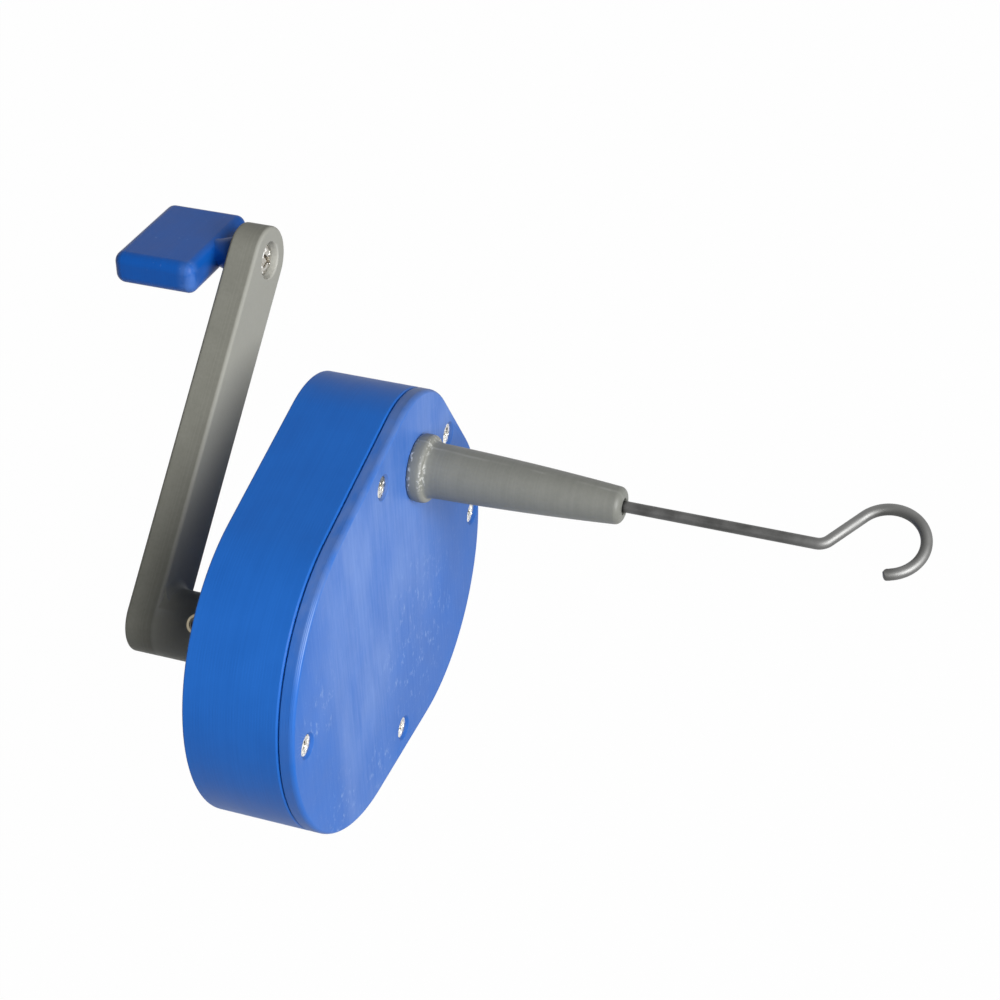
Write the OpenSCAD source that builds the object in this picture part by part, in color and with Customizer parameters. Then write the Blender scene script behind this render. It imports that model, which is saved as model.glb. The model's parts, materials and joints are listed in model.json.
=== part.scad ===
// Hand winder for rubber motors: a crank drives a two-stage gear train in a flat casing,
// and the train spins a wire hook that runs out through a tapered nose tube.
// X runs along the hook axis, towards the hook. Z is up. The casing lies on its flat side,
// and the origin is at the middle of that flat side on the rear casing.

/* [Casing] */
// Depth of the rear casing along the hook axis
body_depth = 20; // [19:0.5:26]
// Thickness of the front cover
cover_t = 3.2; // [2.8:0.1:5]
// Side wall of the rear casing
wall_t = 2.6; // [1.6:0.1:4]
// Rear wall of the rear casing
rear_wall_t = 2.6; // [2:0.1:4]
// Radius of the lobe round the crank
crank_lobe_r = 35.4; // [33:0.1:42]
// Radius of the lobe round the idler
idler_lobe_r = 34.4; // [32:0.1:40]
// Radius of the lobe round the hook
hook_lobe_r = 20.8; // [18:0.1:26]
// Length of the flat side that the winder rests on
rest_flat = 26.4; // [22:0.2:34]
// Sideways place of the hook lobe's centre
hook_lobe_y = 14.4; // [10:0.1:18]
// Height of the hook lobe's centre
hook_lobe_z = 57.6; // [54:0.1:64]
// Radius of the rounded front edge of the cover
cover_edge_r = 1.2; // [0.6:0.1:1.6]
// Height of one printed layer in that edge
layer_h = 0.3; // [0.2:0.05:0.6]
// Depth of the groove along the seam
seam_depth = 0.25; // [0.1:0.05:0.6]

/* [Axes] */
// Sideways place of the crank axis
crank_y = -14.6; // [-18:0.1:-12]
// Height of the crank axis
crank_z = 35; // [32:0.1:40]
// Sideways place of the hook axis
hook_y = 16; // [13:0.1:19]
// Height of the hook axis
hook_z = 62.6; // [60:0.1:66]

/* [Cover screws] */
// Edge distance of the screws at the crank lobe, the top side and the rest side
screw_edge = 6.1; // [5:0.1:6.4]
// Edge distance of the screws at the idler lobe and the hook side
screw_edge_right = 4.5; // [4:0.1:6.4]
// Radius of the screw thread
screw_r = 1.1; // [0.8:0.05:1.3]
// Radius of the countersunk screw head
screw_head_r = 2.2; // [1.8:0.05:2.5]
// Length of the cover screws
screw_l = 12; // [9:0.5:14]
// Depth of the head below the cover's face
screw_sink = 0.5; // [0.3:0.1:1]
// Radius of the screw posts in the rear casing
post_r = 2.7; // [2.2:0.1:3]

/* [Gears] */
// Tooth module
gear_module = 0.9; // [0.86:0.01:0.92]
// Teeth on the crank gear
crank_teeth = 52; // [50:1:53]
// Teeth on the large idler gear
idler_teeth = 42; // [41:1:43]
// Teeth on the idler pinion
idler_pinion_teeth = 12; // [12:1:13]
// Teeth on the hook pinion
hook_pinion_teeth = 12; // [12:1:13]
// Pressure angle of the teeth
pressure_angle = 25; // [24:0.5:27]
// How much each tooth is thinned at the pitch circle
backlash = 0.2; // [0.15:0.01:0.3]
// Width of each gear
gear_w = 5.2; // [4:0.1:5.2]
// Gap between the two layers of gears
layer_gap = 0.5; // [0.3:0.1:0.8]

/* [Shafts and bushes] */
// Radius of the crank shaft
crank_shaft_r = 3; // [2.5:0.1:3.5]
// Radius of the idler axle
idler_axle_r = 1.5; // [1.2:0.1:1.8]
// Wall of the bushes on the crank shaft
crank_bush_t = 1.5; // [1:0.1:2]
// Wall of the bushes on the hook wire
hook_bush_t = 1.2; // [0.8:0.1:1.4]
// Wall of the sleeve in the idler gear
idler_sleeve_t = 1; // [0.7:0.1:1.2]
// Length of the bushes in the nose tube
nose_bush_l = 6; // [4:0.5:10]
// Thickness of the flange on the rear bush of the nose tube
bush_flange_t = 1.3; // [0.8:0.1:2]
// Height of the bearing bosses above the rear wall
boss_h = 3.5; // [3:0.1:4]
// Wall of the bearing bosses
boss_t = 2; // [1.4:0.1:2.6]
// Skin left in front of and behind the blind bearings
bearing_skin = 1.3; // [0.8:0.1:1.8]
// Length of the crank gear's hub
crank_hub_l = 3.4; // [3:0.1:3.6]
// Radius of the pin through the crank gear's hub
cross_pin_r = 0.8; // [0.6:0.1:1]
// Length of the hook pinion's hub
pinion_hub_l = 5; // [3.5:0.1:5.2]
// Radius of the small set screws in the pinion hub
pinion_screw_r = 1; // [0.8:0.1:1.2]
// Thickness of the washers
washer_t = 0.6; // [0.4:0.05:0.8]
// Thickness of the thrust washer
thrust_washer_t = 0.8; // [0.5:0.05:1]

/* [Nose tube] */
// Length of the nose tube in front of the cover
nose_l = 43.6; // [34:0.2:60]
// Radius of the collar at the cover
collar_r = 7; // [6.8:0.1:8]
// Thickness of the collar
collar_t = 3.2; // [1.6:0.1:4]
// Rounding of the collar's edges
collar_round = 0.9; // [0.4:0.1:1.1]
// Length of the hollow fillet in front of the collar
collar_blend = 2.6; // [1:0.1:4]
// Radius of the tube at the collar
nose_base_r = 5.6; // [5:0.1:5.8]
// Radius of the tube near its tip
nose_tip_r = 3.8; // [3.7:0.1:4.6]
// How far the tube's side swells out of a straight taper
nose_swell = 0.25; // [0:0.05:0.5]
// Rounding of the tip
tip_round = 1.5; // [0.8:0.1:1.8]
// Radius of the spigot that sits in the cover
spigot_r = 5.4; // [4.8:0.1:6]
// Radius of the hole that the wire leaves by
tip_hole_r = 1.7; // [1.4:0.05:2]

/* [Hook] */
// Diameter of the hook wire
wire_d = 2.3; // [2:0.05:2.6]
// Free wire between the nose tip and the bend
wire_free = 38.3; // [20:0.1:60]
// How much the wire's radius shrinks where it is bent
bend_thin = 0.02; // [0.01:0.01:0.06]
// Radius of the bend, on the wire's centre line
bend_r = 3; // [2.6:0.1:5]
// Angle of the bend
bend_angle = 52; // [40:1:60]
// Straight wire between the bend and the eye
lead_l = 8.4; // [6:0.1:12]
// Radius of the eye, on the wire's centre line
eye_r = 7.2; // [6.2:0.1:9]
// Turn of the wire round the eye
eye_turn = 227; // [200:1:240]
// Tilt of the hook's plane about its axis
hook_tilt = 23; // [-90:1:90]

/* [Crank arm] */
// Distance from the crank axis to the handle axis
crank_throw = 78.4; // [60:0.2:95]
// Angle of the arm above level
arm_angle = 41.8; // [30:0.2:60]
// Width of the arm
arm_w = 14.4; // [13:0.1:18]
// Thickness of the arm
arm_t = 6.8; // [5.8:0.1:9]
// Chamfer along the edges of the arm
arm_chamfer = 0.8; // [0.3:0.1:1.5]
// Radius of the fillet between the arm and its hub
hub_fillet = 2; // [0.5:0.1:4]
// Length of the hub from the arm to the casing
hub_l = 19.2; // [16:0.1:24]
// Thickness of the washer behind the casing
outer_washer_t = 0.8; // [0.5:0.1:1.2]
// Distance of the set screw from the arm's face
set_screw_x = 8.8; // [5:0.1:12]
// Radius of the set screw
set_screw_r = 1.5; // [1.2:0.1:1.6]
// Wall of the threaded insert round the set screw
insert_t = 0.6; // [0.4:0.05:1]
// Length of the threaded insert
insert_l = 3; // [2:0.1:3.4]
// Depth of the shaft's blind end below the arm's back
shaft_cover = 3; // [1.5:0.1:4]

/* [Handle] */
// Width of the paddle
paddle_w = 26.8; // [20:0.2:34]
// Length of the paddle along the hook axis
paddle_l = 18.6; // [12:0.2:24]
// Thickness of the paddle
paddle_t = 7.1; // [6:0.1:9]
// Rounding of the paddle's edges
paddle_round = 1.8; // [1:0.1:2.8]
// How far the middle of the paddle lies below the handle axis
paddle_drop = 0.6; // [0:0.1:1]
// Turn of the paddle about the handle axis
paddle_turn = -3; // [-180:1:180]
// Length of the neck between the arm and the paddle
neck_l = 3.9; // [3:0.1:9]
// Radius of the neck
neck_r = 3.6; // [3.4:0.1:5]
// Radius of the counterbore in the arm
counterbore_r = 3.9; // [3.6:0.1:5]
// Depth of the counterbore in the arm
counterbore_d = 2.8; // [2.6:0.1:3.6]
// Radius of the handle screw's shank
handle_screw_r = 2; // [1.6:0.05:2.2]
// Radius of the handle screw's head
handle_head_r = 3.4; // [3:0.1:3.5]
// Height of the handle screw's head
handle_head_h = 2.1; // [1.6:0.1:2.4]
// How far the handle screw reaches into the handle
handle_grip = 15; // [8:0.2:18]
// Wall of the bush in the arm
handle_bush_t = 0.9; // [0.6:0.1:1.2]

/* [Clearances] */
// Radial clearance of a running shaft
slip = 0.05; // [0.03:0.01:0.09]
// Axial play between a turning piece and its seat
play = 0.15; // [0.1:0.01:0.2]
// Radial gap of a glued or screwed fit
snug = 0.03; // [0.02:0.01:0.05]

/* [Hidden] */
$fn = 96;
eps = 0.01;
// Straight sides lie this little inside their tangents, so that they cut the round ends cleanly
tangent_dip = 0.002;

// Casing lobes as [centre, radius], in the order crank, idler, hook; both lower lobes touch the ground
LOBES = [
    [[-rest_flat / 2, crank_lobe_r], crank_lobe_r],
    [[rest_flat / 2, idler_lobe_r], idler_lobe_r],
    [[hook_lobe_y, hook_lobe_z], hook_lobe_r]
];

function unit(angle) = [cos(angle), sin(angle)];
function heading(v) = atan2(v.y, v.x);

// Outer tangent of two lobes, as [start, end, outward normal], with the casing on its left
function tangent(a, b) =
    let (
        step = b[0] - a[0],
        lean = acos((a[1] - b[1]) / norm(step)),
        out = unit(heading(step) - lean)
    )
    [a[0] + a[1] * out, b[0] + b[1] * out, out];

SIDES = [for (i = [0 : 2]) tangent(LOBES[i], LOBES[(i + 1) % 3])];

// Places across the hook axis
crank_at = [crank_y, crank_z];
hook_at = [hook_y, hook_z];
crank_to_idler = gear_module * (crank_teeth + idler_pinion_teeth) / 2;
idler_to_hook = gear_module * (idler_teeth + hook_pinion_teeth) / 2;
crank_to_hook = norm(hook_at - crank_at);
// The idler closes the triangle of the three axes, on the right of the line from crank to hook
idler_lean = acos(
    (pow(crank_to_idler, 2) + pow(crank_to_hook, 2) - pow(idler_to_hook, 2))
    / (2 * crank_to_idler * crank_to_hook)
);
idler_heading = heading(hook_at - crank_at) - idler_lean;
idler_at = crank_at + crank_to_idler * unit(idler_heading);
hook_heading = heading(hook_at - idler_at);
handle_at = crank_at + crank_throw * unit(arm_angle);

// A screw place on a side, as a share of its length and a distance from the edge
function side_place(side, share, edge) = side[0] + share * (side[1] - side[0]) - edge * side[2];
// A screw place on a lobe, as a direction and a distance from the edge
function lobe_place(lobe, angle, edge) = lobe[0] + (lobe[1] - edge) * unit(angle);

SCREWS = [
    side_place(SIDES[2], 0.37, screw_edge),
    side_place(SIDES[1], 0.59, screw_edge_right),
    lobe_place(LOBES[1], -3.5, screw_edge_right),
    lobe_place(LOBES[0], 176.5, screw_edge),
    side_place(SIDES[0], 0.52, screw_edge)
];

// Stations along the hook axis
x_rear = -body_depth / 2;
x_seam = body_depth / 2;
x_front = x_seam + cover_t;
x_inside = x_rear + rear_wall_t;
x_boss = x_inside + boss_h;
x_crank_gear = x_boss + washer_t + play;
x_idler_gear = x_crank_gear + gear_w + layer_gap;
x_gears_end = x_idler_gear + gear_w;
x_crank_hub = x_crank_gear + gear_w + crank_hub_l;
x_crank_boss = x_crank_hub + washer_t + play;
x_blind_rear = x_rear + bearing_skin;
x_blind_front = x_front - bearing_skin;
x_thrust = x_gears_end + thrust_washer_t;
// The spigot of the nose tube starts at the flange that takes the pull of the hook
x_spigot = x_thrust + play + bush_flange_t;
x_idler_seat = x_gears_end + play + washer_t;
x_tip = x_front + nose_l;
x_hub_end = x_rear - play - outer_washer_t;
x_arm = x_hub_end - hub_l;
x_arm_back = x_arm - arm_t;
x_neck = x_arm_back - play - washer_t;
x_paddle = x_neck - neck_l;
x_set_screw = x_arm + set_screw_x;

// Radii of the bushes, their pockets and their bosses
wire_r = wire_d / 2;
crank_bush_r = crank_shaft_r + slip + crank_bush_t;
hook_bush_r = wire_r + slip + hook_bush_t;
idler_sleeve_r = idler_axle_r + slip + idler_sleeve_t;
handle_bush_r = handle_screw_r + slip + handle_bush_t;
crank_boss_r = crank_bush_r + boss_t;
hook_boss_r = hook_bush_r + boss_t;
idler_boss_r = idler_axle_r + boss_t;
crank_hub_r = crank_shaft_r + boss_t;
pinion_hub_r = wire_r + boss_t;
thrust_r = hook_bush_r + boss_t;
handle_washer_r = neck_r + 0.3;
insert_r = set_screw_r + insert_t;
csk_h = screw_head_r - screw_r;
set_screw_sink = 1.2;
tip_seat = 2.5;
wire_tail = 0.3;
bend_lap = 1;

casing_blue = "#1f5fbf";
printed_grey = "#85877d";
steel_grey = "#8c8d8c";
brass_tone = "#c9a24c";
gear_white = "#e6e2d6";

// Solid of a flat shape, drawn in Y and Z, between two stations
module slab(x0, x1) {
    translate([x0, 0, 0]) rotate([90, 0, 90]) linear_extrude(x1 - x0) children();
}

// Round bar along X between two stations
module bar(x0, x1, r, at) {
    translate([x0, at.x, at.y]) rotate([0, 90, 0]) cylinder(h = x1 - x0, r = r);
}

// Round bar along X that changes radius from r0 to r1
module cone(x0, x1, r0, r1, at) {
    translate([x0, at.x, at.y]) rotate([0, 90, 0]) cylinder(h = x1 - x0, r1 = r0, r2 = r1);
}

// Ring along X between two stations
module ring(x0, x1, r_out, r_in, at) {
    difference() {
        bar(x0, x1, r_out, at);
        bar(x0 - eps, x1 + eps, r_in, at);
    }
}

// Cross-shaped driver recess, sunk from a head's face at x towards -X
module cross_recess(x, depth, reach, at) {
    arm_width = reach * 0.32;
    translate([x - depth, at.x, at.y])
        for (turn = [0, 90])
            rotate([turn, 0, 0])
                translate([0, -reach, -arm_width / 2])
                    cube([depth + eps, 2 * reach, arm_width]);
}

// Casing outline in Y and Z, drawn in from the edge by inset
module outline(inset = 0) {
    for (lobe = LOBES)
        translate(lobe[0]) circle(r = lobe[1] - inset);
    dip = inset + tangent_dip;
    polygon([for (side = SIDES) each [side[0] - dip * side[2], side[1] - dip * side[2]]]);
}

// Angle in degrees that an involute has swept at radius r
function sweep(base_r, r) = let (t = sqrt(pow(r / base_r, 2) - 1)) t * 180 / PI - atan(t);

FLANK_STEPS = 4;

// Outline of a spur gear with a tooth at the angle phase
function gear_points(teeth, phase) =
    let (
        pitch_r = gear_module * teeth / 2,
        base_r = pitch_r * cos(pressure_angle),
        tip_r = pitch_r + gear_module,
        root_r = pitch_r - 1.25 * gear_module,
        flank_r = max(base_r, root_r + eps),
        pitch_half = 90 / teeth - backlash / 2 / pitch_r * 180 / PI,
        radii = [root_r, for (i = [0 : FLANK_STEPS]) flank_r + (tip_r - flank_r) * i / FLANK_STEPS],
        halves = [for (r = radii) pitch_half + sweep(base_r, pitch_r) - sweep(base_r, max(r, base_r))],
        last = len(radii) - 1
    )
    [
        for (k = [0 : teeth - 1])
            let (middle = phase + 360 * k / teeth)
            each concat(
                [for (i = [0 : last]) radii[i] * unit(middle - halves[i])],
                [for (i = [last : -1 : 0]) radii[i] * unit(middle + halves[i])]
            )
    ];

module gear(x0, x1, teeth, phase, at) {
    slab(x0, x1) translate(at) polygon(gear_points(teeth, phase));
}

module rear_casing() {
    color(casing_blue)
    difference() {
        union() {
            difference() {
                union() {
                    slab(x_rear, x_seam - seam_depth) outline();
                    slab(x_seam - seam_depth - eps, x_seam) outline(seam_depth);
                }
                slab(x_inside, x_seam + eps) outline(wall_t);
            }
            for (at = SCREWS)
                bar(x_inside - eps, x_seam, post_r, at);
            bar(x_inside - eps, x_boss, crank_boss_r, crank_at);
            bar(x_inside - eps, x_boss, idler_boss_r, idler_at);
            bar(x_inside - eps, x_boss, hook_boss_r, hook_at);
        }
        for (at = SCREWS)
            bar(x_front - screw_sink - screw_l - 1, x_seam + eps, screw_r + snug, at);
        bar(x_rear - eps, x_boss + eps, crank_bush_r + snug, crank_at);
        bar(x_blind_rear, x_boss + eps, idler_axle_r + snug, idler_at);
        bar(x_blind_rear, x_boss + eps, hook_bush_r + snug, hook_at);
    }
}

module front_cover() {
    edge_layers = round(cover_edge_r / layer_h);
    edge_step = cover_edge_r / edge_layers;
    edge_start = x_front - cover_edge_r;
    color(casing_blue)
    difference() {
        union() {
            slab(x_seam, x_seam + seam_depth + eps) outline(seam_depth);
            slab(x_seam + seam_depth, edge_start) outline();
            for (i = [0 : edge_layers - 1]) {
                rise = (i + 0.5) * edge_step;
                inset = cover_edge_r - sqrt(pow(cover_edge_r, 2) - pow(rise, 2));
                slab(edge_start + i * edge_step - eps, edge_start + (i + 1) * edge_step) outline(inset);
            }
            bar(x_crank_boss, x_seam + eps, crank_boss_r, crank_at);
            // The idler's front washer seats on a boss, or in a recess where the casing is shallow
            if (x_idler_seat < x_seam)
                bar(x_idler_seat, x_seam + eps, idler_boss_r, idler_at);
        }
        if (x_idler_seat > x_seam)
            bar(x_seam - eps, x_idler_seat, idler_boss_r + play, idler_at);
        for (at = SCREWS) {
            bar(x_seam - eps, x_front + eps, screw_r + slip, at);
            cone(x_front - screw_sink - csk_h, x_front + eps,
                screw_r + slip, screw_head_r + slip + screw_sink + eps, at);
        }
        bar(x_crank_boss - eps, x_blind_front, crank_bush_r + snug, crank_at);
        bar(x_gears_end, x_blind_front, idler_axle_r + snug, idler_at);
        bar(x_seam - eps, x_front + eps, spigot_r + snug, hook_at);
    }
}

module cover_screws() {
    head_x = x_front - screw_sink;
    color(steel_grey)
    for (at = SCREWS)
        difference() {
            union() {
                cone(head_x - csk_h, head_x, screw_r, screw_head_r, at);
                bar(head_x - screw_l, head_x - csk_h + eps, screw_r, at);
            }
            cross_recess(head_x, csk_h, screw_head_r * 0.62, at);
        }
}

// Side of the nose tube, as [station, radius] points from the collar to the tip
NOSE_STEPS = 10;
nose_blend_start = x_front + collar_t;
nose_side_start = nose_blend_start + collar_blend;
nose_side_end = x_tip - tip_round;
NOSE_SIDE = [
    for (i = [0 : NOSE_STEPS])
        let (t = i / NOSE_STEPS)
        [
            nose_side_start + t * (nose_side_end - nose_side_start),
            nose_base_r + t * (nose_tip_r - nose_base_r) + 4 * nose_swell * t * (1 - t)
        ]
];
// Quarter rounds of the tip and of both edges of the collar, and the hollow fillet in front of it
ROUND_STEPS = 6;
TIP_ROUND = [
    for (i = [1 : ROUND_STEPS])
        let (a = 90 * i / ROUND_STEPS)
        [nose_side_end + tip_round * sin(a), nose_tip_r - tip_round * (1 - cos(a))]
];
COLLAR_FOOT = [
    for (i = [0 : ROUND_STEPS])
        let (a = 90 * i / ROUND_STEPS)
        [x_front + collar_round * (1 - sin(a)), collar_r - collar_round * (1 - cos(a))]
];
COLLAR_ROUND = [
    for (i = [0 : ROUND_STEPS])
        let (a = 90 * i / ROUND_STEPS)
        [nose_blend_start - collar_round * (1 - sin(a)), collar_r - collar_round * (1 - cos(a))]
];
nose_fillet = collar_r - collar_round - nose_base_r;
NOSE_FILLET = [
    for (i = [1 : ROUND_STEPS - 1])
        let (a = 90 * i / ROUND_STEPS)
        [nose_blend_start + collar_blend * (1 - cos(a)), nose_base_r + nose_fillet * (1 - sin(a))]
];

module nose_tube() {
    bore_end = x_tip - tip_seat;
    profile = concat(
        [[x_spigot, 0], [x_spigot, spigot_r], [x_front, spigot_r]],
        [for (i = [ROUND_STEPS : -1 : 0]) COLLAR_FOOT[i]],
        COLLAR_ROUND, NOSE_FILLET, NOSE_SIDE, TIP_ROUND, [[x_tip, 0]]
    );
    color(printed_grey)
    difference() {
        translate([0, hook_at.x, hook_at.y])
            rotate([0, 90, 0])
                rotate_extrude() polygon([for (p = profile) [p[1], p[0]]]);
        bar(x_spigot - eps, bore_end, hook_bush_r + snug, hook_at);
        bar(bore_end - eps, x_tip + eps, tip_hole_r, hook_at);
    }
}

module nose_front_bush() {
    color(brass_tone)
    ring(x_tip - tip_seat - nose_bush_l, x_tip - tip_seat, hook_bush_r, wire_r + slip, hook_at);
}

module nose_rear_bush() {
    color(brass_tone)
    difference() {
        union() {
            bar(x_spigot - eps, x_spigot + nose_bush_l, hook_bush_r, hook_at);
            bar(x_thrust + play, x_spigot, spigot_r - 0.8, hook_at);
        }
        bar(x_thrust, x_spigot + nose_bush_l + eps, wire_r + slip, hook_at);
    }
}

// Straight wire along X, with what follows placed at its end
module wire_run(length) {
    rotate([0, 90, 0]) cylinder(h = length, r = wire_r);
    translate([length, 0, 0]) children();
}

// Wire bent to the left from the X direction, with what follows placed at its end;
// the bend reaches a little way into the thicker straight wire on either side
module wire_bend(r, turn) {
    translate([0, r, 0]) {
        rotate([0, 0, -90 - bend_lap])
            rotate_extrude(angle = turn + 2 * bend_lap) translate([r, 0]) circle(r = wire_r - bend_thin);
        rotate([0, 0, turn]) translate([0, -r, 0]) children();
    }
}

module hook_shaft() {
    wire_start = x_blind_rear + wire_tail;
    color(steel_grey)
    translate([wire_start, hook_at.x, hook_at.y])
        rotate([hook_tilt, 0, 0])
            wire_run(x_tip + wire_free - wire_start)
                wire_bend(bend_r, bend_angle)
                    wire_run(lead_l)
                        rotate([180, 0, 0]) wire_bend(eye_r, eye_turn);
}

// Teeth of the pinions sit in the gaps of the gears that they meet
function meshing_phase(toward, teeth) = toward + 180 + 180 / teeth;

module hook_pinion() {
    color(gear_white)
    difference() {
        union() {
            gear(x_idler_gear, x_gears_end, hook_pinion_teeth,
                meshing_phase(hook_heading, hook_pinion_teeth), hook_at);
            bar(x_idler_gear - pinion_hub_l, x_idler_gear + eps, pinion_hub_r, hook_at);
        }
        bar(x_idler_gear - pinion_hub_l - eps, x_gears_end + eps, wire_r + snug, hook_at);
        pinion_screw_bar(pinion_screw_r + snug, pinion_hub_r + 1);
    }
}

// Upright bar from the wire out through the pinion's hub
module pinion_screw_bar(r, top) {
    translate([x_idler_gear - pinion_hub_l / 2, hook_at.x, hook_at.y + wire_r + snug])
        cylinder(h = top - wire_r, r = r);
}

module hook_pinion_screw() {
    color(steel_grey) pinion_screw_bar(pinion_screw_r, pinion_hub_r - snug);
}

module hook_thrust_washer() {
    color(brass_tone) ring(x_gears_end, x_thrust, thrust_r, wire_r + snug, hook_at);
}

module hook_rear_bush() {
    color(brass_tone) ring(x_blind_rear, x_boss, hook_bush_r, wire_r + slip, hook_at);
}

module idler_gear() {
    color(gear_white)
    difference() {
        union() {
            gear(x_crank_gear, x_idler_gear + eps, idler_pinion_teeth,
                meshing_phase(idler_heading, idler_pinion_teeth), idler_at);
            gear(x_idler_gear, x_gears_end, idler_teeth, hook_heading, idler_at);
        }
        bar(x_crank_gear - eps, x_gears_end + eps, idler_sleeve_r + snug, idler_at);
    }
}

module idler_sleeve() {
    color(brass_tone)
    ring(x_crank_gear, x_gears_end, idler_sleeve_r, idler_axle_r + slip, idler_at);
}

module idler_axle() {
    color(steel_grey) bar(x_blind_rear, x_blind_front, idler_axle_r, idler_at);
}

module idler_washers() {
    color(steel_grey)
    for (x = [x_boss, x_idler_seat - washer_t])
        ring(x, x + washer_t, idler_boss_r, idler_axle_r + slip, idler_at);
}

// Pin across the crank gear's hub
module cross_pin_bar(r, half) {
    translate([x_crank_hub - crank_hub_l / 2, crank_at.x - half, crank_at.y])
        rotate([-90, 0, 0])
            cylinder(h = 2 * half, r = r);
}

module crank_gear() {
    color(gear_white)
    difference() {
        union() {
            gear(x_crank_gear, x_crank_gear + gear_w, crank_teeth, idler_heading, crank_at);
            bar(x_crank_gear + gear_w - eps, x_crank_hub, crank_hub_r, crank_at);
        }
        bar(x_crank_gear - eps, x_crank_hub + eps, crank_shaft_r + snug, crank_at);
        cross_pin_bar(cross_pin_r + snug, crank_hub_r + 1);
    }
}

module crank_gear_pin() {
    color(steel_grey) cross_pin_bar(cross_pin_r, crank_hub_r - snug);
}

module crank_shaft() {
    color(steel_grey)
    difference() {
        bar(x_arm_back + shaft_cover, x_blind_front - play, crank_shaft_r, crank_at);
        cross_pin_bar(cross_pin_r + snug, crank_hub_r);
    }
}

module crank_rear_bush() {
    color(brass_tone) ring(x_rear, x_boss, crank_bush_r, crank_shaft_r + slip, crank_at);
}

module crank_front_bush() {
    color(brass_tone)
    ring(x_crank_boss, x_blind_front, crank_bush_r, crank_shaft_r + slip, crank_at);
}

module crank_inner_washer() {
    color(steel_grey)
    ring(x_crank_hub, x_crank_hub + washer_t, crank_hub_r, crank_shaft_r + snug, crank_at);
}

module crank_outer_washer() {
    color(steel_grey)
    ring(x_hub_end, x_hub_end + outer_washer_t, crank_boss_r - 1, crank_shaft_r + snug, crank_at);
}

// Bar from the crank axis out through the upper side of the hub, between two radii
module set_screw_bar(r, inner, outer) {
    along_arm(x_set_screw) translate([0, 0, inner]) cylinder(h = outer - inner, r = r);
}

// Half of the arm's section, as [depth, reach] points from its back to its front
arm_r = arm_w / 2;
ARM_EDGE = [
    [0, arm_r - arm_chamfer],
    [arm_chamfer, arm_r],
    [arm_t - arm_chamfer, arm_r],
    [arm_t, arm_r - arm_chamfer]
];

// Round end of the arm about an axis
module arm_end(at) {
    translate([x_arm_back, at.x, at.y])
        rotate([0, 90, 0])
            rotate_extrude()
                polygon(concat([[0, 0]], [for (p = ARM_EDGE) [p[1], p[0]]], [[0, arm_t]]));
}

// Places a piece at the crank axis, with Y along the arm
module along_arm(x) {
    translate([x, crank_at.x, crank_at.y]) rotate([arm_angle, 0, 0]) children();
}

module arm_beam() {
    half = [for (p = ARM_EDGE) [p[0], p[1] - tangent_dip]];
    along_arm(x_arm_back)
        rotate([-90, 0, 0])
            linear_extrude(crank_throw)
                polygon(concat(half, [for (i = [3 : -1 : 0]) [half[i][0], -half[i][1]]]));
}

// Hollow fillet on the arm's front, as wide as the flat there
module hub_fillet_piece() {
    half = arm_r - arm_chamfer;
    intersection() {
        translate([x_arm, crank_at.x, crank_at.y])
            rotate([0, 90, 0])
                rotate_extrude()
                    difference() {
                        translate([arm_r - hub_fillet, -eps]) square([2 * hub_fillet, hub_fillet + eps]);
                        translate([arm_r + hub_fillet, hub_fillet]) circle(r = hub_fillet);
                    }
        along_arm(x_arm - 2 * eps)
            translate([0, 0, -half])
                cube([hub_fillet + 3 * eps, arm_r + hub_fillet, 2 * half]);
    }
}

module crank_arm() {
    color(printed_grey)
    difference() {
        union() {
            arm_end(crank_at);
            arm_end(handle_at);
            arm_beam();
            bar(x_arm_back + arm_t / 2, x_hub_end, arm_r, crank_at);
            hub_fillet_piece();
        }
        bar(x_arm_back + shaft_cover, x_hub_end + eps, crank_shaft_r + snug, crank_at);
        bar(x_arm - counterbore_d, x_arm + eps, counterbore_r, handle_at);
        bar(x_arm_back - eps, x_arm, handle_bush_r + snug, handle_at);
        set_screw_bar(set_screw_r + snug, 0, arm_r + 1);
        set_screw_bar(insert_r + snug, arm_r - insert_l, arm_r + 1);
    }
}

module crank_insert() {
    color(brass_tone)
    difference() {
        set_screw_bar(insert_r, arm_r - insert_l, arm_r);
        set_screw_bar(set_screw_r + snug, 0, arm_w);
    }
}

module crank_set_screw() {
    socket_r = set_screw_r * 0.6;
    end = arm_r - set_screw_sink;
    color(steel_grey)
    difference() {
        set_screw_bar(set_screw_r, crank_shaft_r + snug, end);
        along_arm(x_set_screw)
            translate([0, 0, end - socket_r])
                cylinder(h = arm_w, r = socket_r, $fn = 6);
    }
}

module handle_paddle() {
    half = [paddle_l / 2, paddle_w / 2, paddle_t / 2] - paddle_round * [1, 1, 1];
    screw_end = x_neck - handle_grip;
    color(casing_blue)
    difference() {
        union() {
            translate([x_paddle - paddle_l / 2, handle_at.x, handle_at.y])
                rotate([paddle_turn, 0, 0])
                    translate([0, 0, -paddle_drop])
                        hull()
                            for (sx = [-1, 1], sy = [-1, 1], sz = [-1, 1])
                                translate([sx * half.x, sy * half.y, sz * half.z])
                                    sphere(r = paddle_round, $fn = 32);
            bar(x_paddle - paddle_round, x_neck, neck_r, handle_at);
        }
        bar(screw_end - 1, x_neck + eps, handle_screw_r + snug, handle_at);
    }
}

module handle_screw() {
    head_x = x_arm - counterbore_d + play;
    color(steel_grey)
    difference() {
        union() {
            bar(x_neck - handle_grip, head_x + eps, handle_screw_r, handle_at);
            bar(head_x, head_x + handle_head_h, handle_head_r, handle_at);
        }
        cross_recess(head_x + handle_head_h, handle_head_h * 0.6, handle_head_r * 0.55, handle_at);
    }
}

module handle_bush() {
    color(brass_tone)
    ring(x_arm_back, x_arm - counterbore_d, handle_bush_r, handle_screw_r + slip, handle_at);
}

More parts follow.
